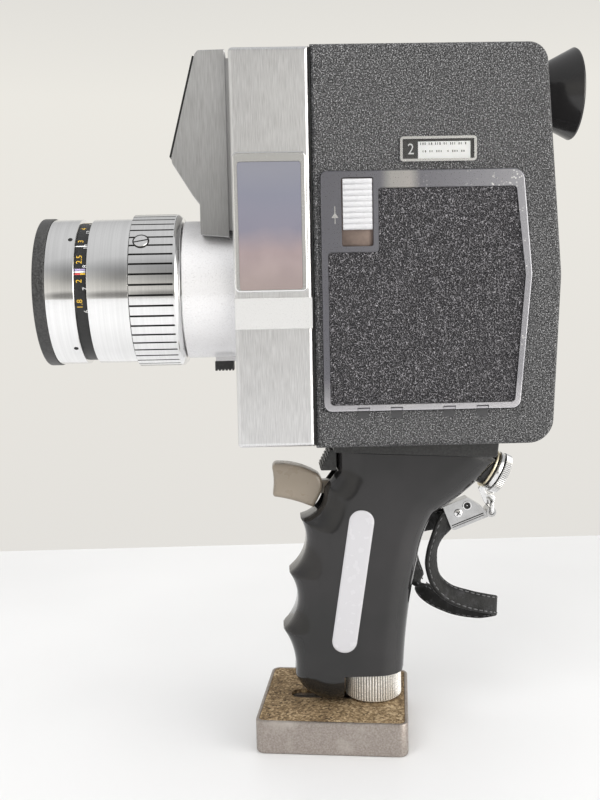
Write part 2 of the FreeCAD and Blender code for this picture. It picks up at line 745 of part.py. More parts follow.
def trigger():
    """The trigger's rounded blade, slightly hollow at the front, and the stem that slides in the grip."""
    blade = prism(path_wire((-14.2, -80.5), [
        ((-5.6, -81.9), (1.4, -85.2)),
        ((3.1, -88.6), (2.6, -92.2)),
        (-0.6, -98.3),
        ((-7.6, -95.6), (-15.0, -93.8)),
        ((-16.1, -93.4), (-16.4, -92.4)),
        ((-16.0, -87.0), (-16.5, -82.4)),
        ((-15.9, -81.0), (-14.2, -80.5)),
    ]), -4.8, 4.8)
    stem = box(0, 10.2, -2.5, 2.5, -93.0, -88.0)
    return blade.fuse(stem)


def trigger_spring():
    helix = Part.makeHelix(1.5, 7.6, 1.9)
    profile = Part.Wire(Part.makeCircle(0.35, V(1.9, 0, 0), Y_AXIS))
    coil = Part.Wire(helix.Edges).makePipeShell([profile], True, True)
    coil.rotate(V(0, 0, 0), Y_AXIS, 90)
    coil.translate(V(10.7, 0, -90.5))
    return coil


# ---------------------------------------------------------------- wrist strap and its screw

LUG_X = 69.6
LUG_Z = -97.6
LUG_OUTLINE = [
    (65.8, -90.8, 0),
    (67.2, -92.0, 0),
    (68.2, -94.8, 0),
    (71.8, -96.4, 1.5),
    (71.4, -99.8, 1.5),
    (67.6, -99.4, 1.5),
    (65.0, -93.0, 0),
]


def strap_boss():
    """The fixed post of the strap screw: a boss let into the grip, two washers and the bail's lug."""
    post = cap_cylinder(-5.5, 5.5, 6.9)
    black = cap_cylinder(0, 1.6, 7.2)
    bright = cap_cylinder(1.6, 1.7, 7.8)
    boss = post.fuse([black, bright, prism(rounded_wire(LUG_OUTLINE), -0.7, 0.7)])
    boss = boss.cut(rod(V(LUG_X, -2, LUG_Z), Y_AXIS, BAIL_WIRE_R + 0.35, 4))
    return boss.cut(cap_cylinder(-7, 20, 2.8))


def strap_screw():
    head = star(CAP_BASE + CAP_AXIS * 3.7, CAP_AXIS, 8.3, 8.0, 60, 2.9)
    return head.fuse(cap_cylinder(-4.5, 8.4, 2.45))


def wire_run(start, end, radius):
    return rod(start, end - start, radius, (end - start).Length)


BAIL_WIRE_R = 0.8
BAIL_HALF = 4.6
BAIL_DROP = 4.6


def bail():
    low_z = LUG_Z - BAIL_DROP
    corners = [
        V(LUG_X, -BAIL_HALF, LUG_Z),
        V(LUG_X, BAIL_HALF, LUG_Z),
        V(LUG_X, BAIL_HALF, low_z),
        V(LUG_X, -BAIL_HALF, low_z),
    ]
    shape = None
    for i in range(4):
        run = wire_run(corners[i], corners[(i + 1) % 4], BAIL_WIRE_R)
        joint = Part.makeSphere(BAIL_WIRE_R, corners[i])
        shape = run.fuse(joint) if shape is None else shape.fuse([run, joint])
    return shape


CLIP_LENGTH = 17.0
CLIP_HEIGHT = 10.4
CLIP_HALF_THICK = 2.6
CLIP_BASE = -1.4
CLIP_TURN = -21.0
CLIP_PIVOT = V(LUG_X, 0, LUG_Z - BAIL_DROP)


def place_clip(shape):
    shape.rotate(V(0, 0, 0), Y_AXIS, CLIP_TURN)
    shape.translate(CLIP_PIVOT)
    return shape


def strap_clip():
    top = CLIP_BASE + CLIP_HEIGHT
    outer = prism(rounded_wire([
        (-CLIP_LENGTH, CLIP_BASE, 1.5),
        (-CLIP_LENGTH, top, 0.6),
        (-6.6, top, 0.6),
        (-2.6, CLIP_BASE + 4.8, 0.6),
        (-1.6, CLIP_BASE, 0.2),
    ]), -CLIP_HALF_THICK, CLIP_HALF_THICK)
    outer = outer.cut(box(-CLIP_LENGTH - 1, -6.8, -1.9, 1.9, CLIP_BASE + 0.7, top - 0.7))
    hook = tube(V(0, -3.4, 0), Y_AXIS, 1.9, 1.1, 6.8)
    web = box(-2.4, -1.2, -CLIP_HALF_THICK, CLIP_HALF_THICK, -1.0, 1.0)
    peg = box(-13.6, -11.0, -3.1, -2.5, 1.2, 3.8)
    clip = outer.fuse([hook, web, peg])
    clip = clip.cut(rod(V(-8.6, -5, 6.0), Y_AXIS, 1.3, 3))
    return place_clip(clip)


STRAP_THICK = 1.7
STRAP_STATIONS = [
    (58.0, -0.95, -102.6, -1.4, 0.0, 3.7),
    (53.4, -0.95, -104.4, -1.4, 0.0, 3.7),
    (50.6, -1.6, -107.8, -2.4, -1.6, 2.2),
    (48.2, -1.6, -112.0, -2.4, -2.8, 0.8),
    (46.4, -0.6, -117.6, -2.2, -3.1, 0.2),
    (46.2, 0.0, -124.0, -2.4, -3.0, 0.4),
    (48.2, 0.0, -130.6, -1.6, -3.0, -1.8),
    (53.6, 0.3, -135.8, -0.6, -2.4, -3.0),
    (61.4, 1.2, -139.0, -0.1, -1.2, -3.8),
    (68.8, 2.8, -141.2, -0.1, -0.4, -4.0),
    (73.2, 6.6, -143.2, -0.2, -0.2, -4.0),
    (72.2, 11.2, -145.6, -0.2, 0.4, -4.0),
    (66.4, 14.8, -147.4, -0.2, 0.6, -3.9),
    (56.4, 17.2, -145.8, 0.4, 0.6, -3.9),
    (46.6, 18.8, -140.2, 1.4, 0.4, -3.7),
    (41.0, 19.0, -129.5, 3.0, 0.4, -2.6),
    (39.6, 18.8, -120.6, 3.7, 0.8, -0.8),
    (42.0, 18.9, -113.2, 3.3, 0.8, -2.0),
    (48.8, 12.8, -109.0, 2.2, 0.4, -3.2),
    (50.2, 4.6, -106.0, 1.6, 0.0, -3.6),
    (52.8, 0.95, -104.6, 1.4, 0.0, -3.7),
    (58.0, 0.95, -102.6, 1.4, 0.0, -3.7),
]


def strap_section(index):
    """The strap's oblong section at a station, square to its run."""
    x, y, z, wx, wy, wz = STRAP_STATIONS[index]
    before = STRAP_STATIONS[max(index - 1, 0)]
    after = STRAP_STATIONS[min(index + 1, len(STRAP_STATIONS) - 1)]
    run = (V(after[0], after[1], after[2]) - V(before[0], before[1], before[2])).normalize()
    width = V(wx, wy, wz)
    width = (width - run * width.dot(run)).normalize() * 3.9
    thick = run.cross(width).normalize() * (STRAP_THICK / 2)
    centre = V(x, y, z)
    corners = [centre - width - thick, centre + width - thick, centre + width + thick, centre - width + thick]
    return Part.makePolygon(corners + corners[:1])


def wrist_strap():
    sections = [strap_section(i) for i in range(len(STRAP_STATIONS))]
    return Part.makeLoft(sections, True, True)


# ---------------------------------------------------------------- table stand

def turn_stand(shape):
    shape.rotate(V(STAND_X, 0, 0), Z_AXIS, STAND_TURN)
    return shape


def slot_cutter(z0, z1):
    half = SCREW_R + 0.75
    x0 = STAND_X - 14
    x1 = STAND_X + 14
    slot = box(x0, x1, -half, half, z0, z1)
    ends = [rod(V(x, 0, z0), Z_AXIS, half, z1 - z0) for x in (x0, x1)]
    return slot.fuse(ends)


def stand_outline(gap, z0, z1, radius):
    half_x = STAND_WIDTH / 2 - gap
    half_y = STAND_DEPTH / 2 - gap
    block = box(STAND_X - half_x, STAND_X + half_x, -half_y, half_y, z0, z1)
    upright = [e for e in block.Edges if abs(e.Vertexes[0].Z - e.Vertexes[1].Z) > 1]
    return block.makeFillet(radius, upright)


def stand_block():
    bottom = STAND_TOP - STAND_HEIGHT
    block = stand_outline(0, bottom, STAND_TOP, 3.5)
    block = block.cut(stand_outline(1.3, STAND_TOP - 1.6, STAND_TOP + 1, 2.4))
    block = block.cut(slot_cutter(bottom - 1, STAND_TOP))
    block = block.cut(box(STAND_X - 24, STAND_X + 24, -11, 11, bottom - 1, bottom + 5.5))
    return turn_stand(block)


def stand_cork():
    pad = stand_outline(1.35, STAND_TOP - 1.6, STAND_TOP - 0.1, 2.35)
    return turn_stand(pad.cut(slot_cutter(STAND_TOP - 3, STAND_TOP + 1)))


def stand_screw():
    bottom = STAND_TOP - STAND_HEIGHT
    shank = rod(V(STAND_SCREW_X, 0, bottom + 2.2), Z_AXIS, SCREW_R, 20)
    head = star(V(STAND_SCREW_X, 0, bottom + 1.6), Z_AXIS, 8.5, 8.1, 40, 3.5)
    return shank.fuse(head)


# ---------------------------------------------------------------- every node

NODES = {
    "body_shell": body_shell,
    "seam_gasket": seam_gasket,
    "case_screws": case_screws,
    "front_housing": front_housing,
    "side_trim_bands": side_trim_bands,
    "panel_bezel": panel_bezel,
    "panel_plate": panel_plate,
    "meter_hood": meter_hood,
    "hood_front_plate": hood_front_plate,
    "meter_window": meter_window,
    "exposure_meter": exposure_meter,
    "film_door_frame": film_door_frame,
    "film_door_panel": film_door_panel,
    "latch_slide": latch_slide,
    "door_hinge": door_hinge,
    "chart_bezel": chart_bezel,
    "chart_glass": chart_glass,
    "chart_card": chart_card,
    "footage_dial": footage_dial,
    "eyecup": eyecup,
    "eyepiece_sleeve": eyepiece_sleeve,
    "eyepiece_lens": eyepiece_lens,
    "finder_tube": finder_tube,
    "lens_tube": lens_tube,
    "lens_mount_barrel": lens_mount_barrel,
    "zoom_ring": zoom_ring,
    "zoom_ring_screw": zoom_ring_screw,
    "distance_scale_ring": distance_scale_ring,
    "focus_ring": focus_ring,
    "lens_front_rim": lens_front_rim,
    "front_lens": front_lens,
    "variator_lens": variator_lens,
    "fixed_optics": fixed_optics,
    "lens_lever": lens_lever,
    "motor": motor,
    "motor_pulley": motor_pulley,
    "drive_belt": drive_belt,
    "shutter": shutter,
    "gate_plate": gate_plate,
    "film_claw": film_claw,
    "chassis": chassis,
    "take_up_spindle": take_up_spindle,
    "batteries": batteries,
    "grip_left": grip_left,
    "grip_right": grip_right,
    "grip_inlays": grip_inlays,
    "grip_saddle": grip_saddle,
    "finger_stop": finger_stop,
    "grip_screw": grip_screw,
    "thread_bushes": thread_bushes,
    "trigger": trigger,
    "trigger_spring": trigger_spring,
    "strap_boss": strap_boss,
    "strap_screw": strap_screw,
    "bail": bail,
    "strap_clip": strap_clip,
    "wrist_strap": wrist_strap,
    "stand_block": stand_block,
    "stand_cork": stand_cork,
    "stand_screw": stand_screw,
}


def main():
    os.makedirs("parts", exist_ok=True)
    for name, make in NODES.items():
        save(name, make())


main()
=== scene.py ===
import math

import bmesh
import bpy
import numpy as np
from mathutils import Matrix, Vector
from mathutils.geometry import delaunay_2d_cdt


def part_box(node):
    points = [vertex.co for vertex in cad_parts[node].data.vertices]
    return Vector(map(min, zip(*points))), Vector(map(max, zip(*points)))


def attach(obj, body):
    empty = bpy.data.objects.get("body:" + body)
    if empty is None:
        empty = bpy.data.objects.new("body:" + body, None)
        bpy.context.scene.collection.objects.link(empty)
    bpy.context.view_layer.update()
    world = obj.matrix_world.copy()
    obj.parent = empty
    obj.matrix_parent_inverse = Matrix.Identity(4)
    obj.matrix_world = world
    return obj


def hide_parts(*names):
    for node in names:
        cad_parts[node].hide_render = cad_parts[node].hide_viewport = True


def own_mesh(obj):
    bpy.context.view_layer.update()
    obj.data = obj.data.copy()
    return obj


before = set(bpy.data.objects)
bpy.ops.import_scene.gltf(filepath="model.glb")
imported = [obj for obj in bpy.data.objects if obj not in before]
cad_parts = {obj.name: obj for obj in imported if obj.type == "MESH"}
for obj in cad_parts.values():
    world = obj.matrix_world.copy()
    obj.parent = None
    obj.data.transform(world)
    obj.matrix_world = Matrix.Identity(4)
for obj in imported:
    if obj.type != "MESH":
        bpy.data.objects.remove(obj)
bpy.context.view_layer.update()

# A cine camera on its table stand. Places are written in the camera's own millimetres,
# from the seam behind the front housing (x), the middle (y) and the casing's mid height (z),
# and place() turns them into the frame's metres.

MM = 0.001
SHELL_LOW, SHELL_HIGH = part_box("body_shell")
SEAM = Vector((SHELL_LOW.x, 0, (SHELL_LOW.z + SHELL_HIGH.z) / 2))
LENS_Z = -12.8
FINDER_Z = 58.5
X_AXIS = Vector((1, 0, 0))
Y_AXIS = Vector((0, 1, 0))
Z_AXIS = Vector((0, 0, 1))


def place(x, y, z):
    return SEAM + Vector((x, y, z)) * MM


# ---------------------------------------------------------------- finishes


FINISHES = {}


class Nodes:
    """Shader nodes in one tree, whose patterns read one set of coordinates."""

    def __init__(self, tree, coordinates):
        self.tree = tree
        self.place = tree.nodes.new("ShaderNodeTexCoord").outputs[coordinates]

    def put(self, value, socket):
        if isinstance(value, bpy.types.NodeSocket):
            self.tree.links.new(value, socket)
        else:
            socket.default_value = value

    def stretched(self, x, y, z):
        node = self.tree.nodes.new("ShaderNodeMapping")
        node.inputs["Scale"].default_value = (x, y, z)
        self.put(self.place, node.inputs["Vector"])
        return node.outputs["Vector"]

    def noise(self, scale, detail=2.0, roughness=0.5, at=None):
        node = self.tree.nodes.new("ShaderNodeTexNoise")
        self.put(at or self.place, node.inputs["Vector"])
        node.inputs["Scale"].default_value = scale
        node.inputs["Detail"].default_value = detail
        node.inputs["Roughness"].default_value = roughness
        return node.outputs["Fac"]

    def cells(self, scale, feature="F1", at=None, output="Distance"):
        node = self.tree.nodes.new("ShaderNodeTexVoronoi")
        node.feature = feature
        self.put(at or self.place, node.inputs["Vector"])
        node.inputs["Scale"].default_value = scale
        return node.outputs[output]

    def axis(self, letter):
        node = self.tree.nodes.new("ShaderNodeSeparateXYZ")
        self.put(self.place, node.inputs[0])
        return node.outputs[letter]

    def math(self, operation, a, b=0.0):
        node = self.tree.nodes.new("ShaderNodeMath")
        node.operation = operation
        self.put(a, node.inputs[0])
        self.put(b, node.inputs[1])
        return node.outputs[0]

    def span(self, value, low, high, to_low=0.0, to_high=1.0):
        node = self.tree.nodes.new("ShaderNodeMapRange")
        self.put(value, node.inputs["Value"])
        ends = {"From Min": low, "From Max": high, "To Min": to_low, "To Max": to_high}
        for socket, number in ends.items():
            node.inputs[socket].default_value = number
        return node.outputs["Result"]

    def ramp(self, value, *stops):
        node = self.tree.nodes.new("ShaderNodeValToRGB")
        self.put(value, node.inputs["Fac"])
        elements = node.color_ramp.elements
        while len(elements) < len(stops):
            elements.new(0.5)
        for element, (position, color) in zip(elements, stops):
            element.position = position
            element.color = (*color, 1)
        return node.outputs["Color"]

    def mix(self, factor, a, b, mode="MIX"):
        node = self.tree.nodes.new("ShaderNodeMix")
        node.data_type = "RGBA"
        node.blend_type = mode
        self.put(factor, node.inputs["Factor"])
        self.put(a, node.inputs[6])
        self.put(b, node.inputs[7])
        return node.outputs[2]

    def vector(self, operation, a, b, socket=1, output=0):
        node = self.tree.nodes.new("ShaderNodeVectorMath")
        node.operation = operation
        self.put(a, node.inputs[0])
        self.put(b, node.inputs[socket])
        return node.outputs[output]


class Finish(Nodes):
    """A procedural material on the object's own coordinates, in metres, kept in FINISHES by name."""

    def __init__(self, name, color, metallic=0.0, roughness=0.5, **sockets):
        material = bpy.data.materials.new(name)
        material.use_nodes = True
        super().__init__(material.node_tree, "Object")
        self.shader = self.tree.nodes["Principled BSDF"]
        self.shader.inputs["Base Color"].default_value = (*color, 1)
        self.shader.inputs["Metallic"].default_value = metallic
        self.shader.inputs["Roughness"].default_value = roughness
        for socket, value in sockets.items():
            self.shader.inputs[socket.replace("_", " ")].default_value = value
        FINISHES[name] = material

    def paint(self, color):
        self.put(color, self.shader.inputs["Base Color"])
        return self

    def rough(self, value):
        self.put(value, self.shader.inputs["Roughness"])
        return self

    def bump(self, height, distance, strength=1.0):
        node = self.tree.nodes.new("ShaderNodeBump")
        node.inputs["Distance"].default_value = distance
        node.inputs["Strength"].default_value = strength
        self.put(height, node.inputs["Height"])
        before = self.shader.inputs["Normal"]
        if before.is_linked:
            self.put(before.links[0].from_socket, node.inputs["Normal"])
        self.put(node.outputs["Normal"], before)
        return self


WARM_TINT = (1.0, 0.97, 0.92)


def grey(value):
    return (value, value, value)


def scaled(color, share):
    return tuple(min(1.0, c * share) for c in color)


def wrinkle_paint():
    f = Finish("wrinkle_paint", grey(0.05), roughness=0.5)
    wrinkles = f.noise(2100, 2.0, 0.6)
    specks = f.cells(2300)
    # The brightest wrinkle crests and specks in this colour are painted highlights of light catching the fine
    # texture.
    f.paint(f.ramp(f.math("ADD", wrinkles, f.span(specks, 0.0, 0.7, 0.09, -0.09)),
                   (0.34, (0.008, 0.008, 0.009)), (0.5, (0.08, 0.08, 0.083)), (0.66, (0.38, 0.38, 0.39))))
    f.rough(f.span(f.noise(60, 2.0), 0.3, 0.7, 0.42, 0.58))
    f.bump(wrinkles, 0.0008).bump(specks, 0.0002, 0.6)


def leatherette():
    """Black grained cloth: worm-shaped crests on a dark ground, their light colour a painted highlight."""
    f = Finish("leatherette", grey(0.02), roughness=0.4)
    field = f.noise(1500, 0.0, 0.5)
    ridge = f.math("ABSOLUTE", f.math("SUBTRACT", field, 0.5))
    grain = f.noise(1900, 2.0, 0.6)
    # The light ramp stops at the ridge crests are painted highlights.
    f.paint(f.ramp(f.math("ADD", ridge, f.span(grain, 0.3, 0.7, 0.04, -0.03)),
                   (0.0, (0.33, 0.32, 0.34)), (0.035, (0.14, 0.135, 0.146)), (0.09, (0.016, 0.015, 0.018))))
    f.rough(f.span(grain, 0.3, 0.7, 0.3, 0.5))
    f.bump(f.math("MULTIPLY", ridge, -1.0), 0.0024).bump(grain, 0.0003, 0.6)


def brushed(name, low, high, roughness, z_low, z_high, foot):
    """Metal with short fine brush lines up and down, painted shade darkening it towards its foot, and a few
    light pits.
    """
    f = Finish(name, grey(high), metallic=1.0, roughness=roughness)
    lines = f.noise(3200, 2.0, 0.6, f.stretched(1, 1, 0.05))
    cloud = f.noise(28, 2.0)
    tone = f.math("ADD", f.math("MULTIPLY", lines, 0.7), f.math("MULTIPLY", cloud, 0.3))
    color = f.ramp(tone, (0.34, (low, low, low * 1.01)), (0.64, (high, high, high * 1.01)))
    # Painted shade: the colour is multiplied down to foot towards the bottom.
    painted_shade_down = f.span(f.axis("Z"), z_low, z_high, foot, 1.0)
    shaded = f.mix(1.0, color, f.ramp(painted_shade_down, (0.0, grey(0.0)), (1.0, grey(1.0))), "MULTIPLY")
    pits = f.span(f.cells(240), 0.03, 0.05, 1.0, 0.0)
    sparse = f.span(f.noise(35, 1.0), 0.56, 0.6)
    f.paint(f.mix(f.math("MULTIPLY", pits, sparse), shaded, (0.85, 0.85, 0.85, 1)))
    f.rough(f.span(lines, 0.3, 0.7, roughness - 0.04, roughness + 0.06))
    f.bump(lines, 0.00002, 0.6)


def satin(name, value, roughness=0.32, speckle=0.12, tint=(1.0, 1.0, 1.0), scale=2200, tooth=0.00004,
          metallic=1.0):
    """Satin metal with a fine salt-and-pepper speckle."""
    f = Finish(name, grey(value), metallic=metallic, roughness=roughness)
    grains = f.noise(scale, 2.0, 0.6)
    cloud = f.noise(40, 2.0)
    dark, light = scaled(tint, value - speckle), scaled(tint, value + speckle * 0.6)
    f.paint(f.mix(f.span(cloud, 0.3, 0.7, 0.0, 0.25), f.ramp(grains, (0.36, dark), (0.62, light)),
                  (*scaled(tint, value), 1)))
    f.rough(f.span(grains, 0.3, 0.7, roughness - 0.06, roughness + 0.08))
    f.bump(grains, tooth, 0.6)


def door_metal():
    """Satin door frame: greyer at the front, with a pale patch, a painted highlight along its bottom edge,
    and worn specks towards the rear.
    """
    f = Finish("door_aluminium", grey(0.4), metallic=1.0, roughness=0.32)
    front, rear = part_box("film_door_frame")
    across = f.span(f.axis("X"), front.x, rear.x)
    tone = f.ramp(across, (0.0, (0.23, 0.23, 0.26)), (0.28, (0.25, 0.25, 0.28)), (0.33, (0.52, 0.51, 0.50)),
                  (0.42, (0.55, 0.53, 0.52)), (0.47, (0.25, 0.25, 0.28)), (1.0, (0.36, 0.36, 0.39)))
    # A painted highlight: the colour fades to pale grey over the bottom 12 mm of the frame.
    low = f.span(f.axis("Z"), front.z, front.z + 0.012, 1.0, 0.0)
    tone = f.mix(low, tone, (0.62, 0.61, 0.64, 1))
    patchy = f.span(f.noise(130, 2.0), 0.5, 0.6)
    specks = f.math("MULTIPLY", f.span(f.cells(900), 0.18, 0.32, 1.0, 0.0), patchy)
    worn = f.math("MULTIPLY", specks, f.span(across, 0.4, 0.7))
    f.paint(f.mix(worn, tone, (0.8, 0.8, 0.8, 1)))
    grain = f.noise(3000, 2.0)
    f.rough(f.span(grain, 0.3, 0.7, 0.26, 0.4))
    f.bump(grain, 0.00002, 0.6)


def hinge_metal():
    """The door hinge: bright knuckles, and leaves painted like the casing."""
    f = Finish("hinge_metal", grey(0.5), metallic=1.0, roughness=0.35)
    edge = place(0, 0, -57.62).z
    bright = f.span(f.axis("Z"), edge - 0.0001, edge + 0.0001)
    f.paint(f.mix(bright, (0.05, 0.05, 0.053, 1), (0.60, 0.59, 0.62, 1)))
    f.put(bright, f.shader.inputs["Metallic"])
    f.bump(f.noise(2100, 2.0, 0.6), 0.00005, 0.6)


def polished(name, value, roughness, turned=True):
    """Bright metal with fine turning lines round the X axis and light handling marks."""
    f = Finish(name, grey(value), metallic=1.0, roughness=roughness)
    lines = f.noise(1800, 2.0, 0.5, f.stretched(1, 0.01, 0.01)) if turned else f.noise(300, 2.0)
    smears = f.noise(70, 3.0, 0.6)
    f.paint(f.ramp(lines, (0.35, grey(value - 0.025)), (0.65, grey(value + 0.04))))
    f.rough(f.span(smears, 0.35, 0.7, roughness * 0.7, roughness * 1.8))
    f.bump(lines, 0.000006, 0.3)


def mirror_plate():
    """An anodised mirror plate, lilac-blue above, with a painted pinkish reflection below."""
    f = Finish("mirror_plate", (0.6, 0.6, 0.75), metallic=1.0, roughness=0.1)
    low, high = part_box("panel_plate")
    height = f.span(f.axis("Z"), low.z, high.z)
    # The pinkish lower stops are a painted reflection.
    f.paint(f.ramp(f.math("ADD", height, f.span(f.noise(45, 2.0), 0.3, 0.7, -0.06, 0.06)),
                   (0.0, (0.88, 0.74, 0.74)), (0.3, (0.80, 0.66, 0.70)), (0.52, (0.56, 0.55, 0.70)),
                   (0.8, (0.56, 0.58, 0.74)), (1.0, (0.64, 0.66, 0.80))))
    f.rough(f.span(f.noise(90, 3.0, 0.6), 0.35, 0.7, 0.07, 0.17))


def gloss_black(name, value=0.008, roughness=0.1):
    """Moulded gloss plastic with faint handling marks."""
    f = Finish(name, grey(value), roughness=roughness)
    f.rough(f.span(f.noise(55, 4.0, 0.65), 0.35, 0.75, roughness * 0.8, roughness * 1.6))
    light = (value * 1.4, value * 1.3, value * 1.36)
    f.paint(f.ramp(f.noise(30, 3.0), (0.35, grey(value * 0.8)), (0.7, light)))
    f.bump(f.noise(160, 2.0), 0.00003, 0.5)


def matte_black(name, value=0.02, roughness=0.55, scale=1800):
    """Black finish with a fine tooth."""
    f = Finish(name, grey(value), roughness=roughness)
    tooth = f.noise(scale, 2.0, 0.6)
    f.paint(f.ramp(tooth, (0.35, grey(value * 0.6)), (0.68, grey(value * 1.7))))
    f.rough(f.span(tooth, 0.3, 0.7, roughness - 0.1, roughness + 0.1))
    f.bump(tooth, 0.0001, 0.6)


def plastic(name, color, roughness=0.25, mottle=0.12):
    """Coloured moulded plastic, slightly mottled and worn."""
    f = Finish(name, color, roughness=roughness, Coat_Weight=0.25, Coat_Roughness=0.15)
    cloud = f.noise(120, 4.0, 0.6)
    f.paint(f.ramp(cloud, (0.3, scaled(color, 1 - mottle)), (0.7, scaled(color, 1 + mottle))))
    f.rough(f.span(f.noise(300, 3.0), 0.3, 0.7, roughness * 0.75, roughness * 1.4))
    f.bump(f.noise(700, 2.0), 0.00001, 0.4)


def glass(name, color, roughness=0.0, transmission=1.0):
    """Optical glass whose faint coating colour varies a little."""
    f = Finish(name, color, roughness=roughness, IOR=1.5, Transmission_Weight=transmission,
               Coat_Weight=0.6, Coat_Roughness=0.02)
    f.paint(f.ramp(f.noise(60, 2.0), (0.3, color), (0.7, scaled(color, 1.08))))


def cork():
    f = Finish("cork", (0.3, 0.21, 0.12), roughness=0.85)
    grains = f.cells(1150, output="Color")
    dark = f.noise(900, 4.0, 0.7)
    tone = f.math("ADD", f.math("MULTIPLY", grains, 0.55), f.math("MULTIPLY", dark, 0.6))
    worn = f.span(f.noise(45, 2.0), 0.35, 0.65, -0.07, 0.07)
    f.paint(f.ramp(f.math("ADD", tone, worn), (0.28, (0.05, 0.03, 0.015)), (0.5, (0.19, 0.125, 0.062)),
                   (0.66, (0.31, 0.22, 0.12)), (0.88, (0.55, 0.42, 0.26))))
    f.bump(dark, 0.0005, 0.9).bump(f.cells(1150), 0.0003, 0.6)


def stand_metal():
    """Brown-grey sprayed metal, rubbed lighter in places."""
    f = Finish("stand_metal", (0.32, 0.29, 0.27), metallic=0.85, roughness=0.42)
    grains = f.noise(1500, 3.0, 0.6)
    wear = f.noise(60, 4.0, 0.7)
    base = f.ramp(grains, (0.35, (0.32, 0.28, 0.252)), (0.65, (0.45, 0.40, 0.366)))
    f.paint(f.mix(f.span(wear, 0.52, 0.72), base, (0.55, 0.505, 0.47, 1)))
    f.rough(f.span(wear, 0.3, 0.7, 0.36, 0.5))
    f.bump(grains, 0.00012, 0.6)


def strap_leather():
    f = Finish("strap_leather", grey(0.02), roughness=0.55, Specular_IOR_Level=0.2)
    pores = f.cells(1500, "SMOOTH_F1")
    creases = f.noise(260, 4.0, 0.65)
    f.paint(f.ramp(creases, (0.32, grey(0.012)), (0.55, grey(0.02)), (0.75, (0.055, 0.054, 0.058))))
    f.rough(f.span(creases, 0.3, 0.7, 0.45, 0.62))
    f.bump(pores, 0.0002, 0.7).bump(creases, 0.0004, 0.6)


def thread_finish(name, color):
    f = Finish(name, color, roughness=0.7, Sheen_Weight=0.3)
    twist = f.noise(2600, 2.0)
    f.paint(f.ramp(twist, (0.35, scaled(color, 0.6)), (0.65, scaled(color, 1.4))))
    f.bump(twist, 0.0001, 0.6)


def printed_card():
    f = Finish("printed_card", grey(0.75), roughness=0.6)
    f.paint(f.ramp(f.noise(500, 3.0), (0.3, (0.86, 0.86, 0.85)), (0.7, (0.97, 0.97, 0.96))))
    # Painted light: a faint emission makes the card glow, standing in for light reaching it through the
    # window glass.
    f.put((0.9, 0.9, 0.88, 1), f.shader.inputs["Emission Color"])
    f.shader.inputs["Emission Strength"].default_value = 0.22


def paint_dot(name, color, roughness=0.45):
    f = Finish(name, color, roughness=roughness)
    chips = f.noise(1800, 2.0)
    f.paint(f.ramp(chips, (0.3, scaled(color, 0.75)), (0.6, color)))
    f.bump(chips, 0.00003, 0.4)


def brass_finish(name, color, roughness=0.28):
    f = Finish(name, color, metallic=1.0, roughness=roughness)
    cloud = f.noise(180, 4.0, 0.6)
    f.paint(f.ramp(cloud, (0.3, scaled(color, 0.72)), (0.7, scaled(color, 1.1))))
    f.rough(f.span(cloud, 0.3, 0.7, roughness - 0.08, roughness + 0.12))


wrinkle_paint()
leatherette()
# The hood's foot of 0.42 paints shade over its lower part; the housing's foot of 1.0 leaves it unshaded.
brushed("brushed_aluminium", 0.67, 0.87, 0.36, z_low=0.118, z_high=0.26, foot=1.0)
brushed("hood_aluminium", 0.54, 0.70, 0.4, z_low=0.18, z_high=0.25, foot=0.42)
satin("band_satin", 0.68, speckle=0.008, scale=4000, tooth=0.000002, metallic=0.35)
door_metal()
hinge_metal()
satin("barrel_satin", 0.80, 0.3, 0.02, tint=(0.99, 0.985, 1.0), scale=4000, tooth=0.000003, metallic=0.35)
polished("ring_polished", 0.88, 0.07)
polished("zoom_polished", 0.86, 0.08)
polished("chrome", 0.80, 0.07, turned=False)
polished("clip_chrome", 0.52, 0.16, turned=False)
polished("knurled_chrome", 0.74, 0.2, turned=False)
satin("bezel_silver", 0.86, 0.2, 0.03, scale=4000, tooth=0.00001)
mirror_plate()
gloss_black("grip_black", 0.018, 0.09)
gloss_black("eyecup_black", 0.014, 0.12)
matte_black("textured_black", 0.022, 0.5, 1200)
matte_black("rim_black", 0.035, 0.42, 1500)
satin("knob_knurled", 0.92, 0.28, 0.03, WARM_TINT, scale=3000, tooth=0.00001, metallic=0.5)
# A darker metal for the knurls' valley faces: painted shade.
satin("knurl_painted_shade", 0.3, 0.4, 0.04, WARM_TINT, scale=3000, tooth=0.00001)
matte_black("anodised_black", 0.014, 0.42, 2600)
matte_black("inner_black", 0.008, 0.7)
matte_black("rubber_black", 0.012, 0.75, 900)
plastic("pill_white", (0.54, 0.535, 0.56), 0.22, 0.004)
plastic("latch_silver", (0.57, 0.57, 0.59), 0.28, 0.03)
plastic("tan_plastic", (0.285, 0.24, 0.19), 0.3, 0.03)
glass("lens_glass", (0.80, 0.83, 0.95))
glass("clear_glass", (0.96, 0.97, 0.97))
glass("finder_glass", (0.035, 0.04, 0.055), 0.05, transmission=0.0)
printed_card()
paint_dot("print_ink", grey(0.2))
paint_dot("paint_white", grey(0.95))
paint_dot("paint_yellow", (0.80, 0.50, 0.05))
paint_dot("paint_red", (0.70, 0.10, 0.10))
paint_dot("paint_lilac", (0.45, 0.38, 0.62))
brass_finish("brass", (0.62, 0.47, 0.22))
brass_finish("cream_brass", (0.78, 0.70, 0.52), 0.3)
brass_finish("recess_gold", (0.30, 0.235, 0.205), 0.4)
satin("machined_steel", 0.5, 0.32, 0.08)
satin("motor_steel", 0.42, 0.38, 0.06, WARM_TINT)
plastic("battery_wrap", (0.10, 0.09, 0.05), 0.3, 0.2)
stand_metal()
cork()
strap_leather()
thread_finish("strap_thread", (0.10, 0.10, 0.105))

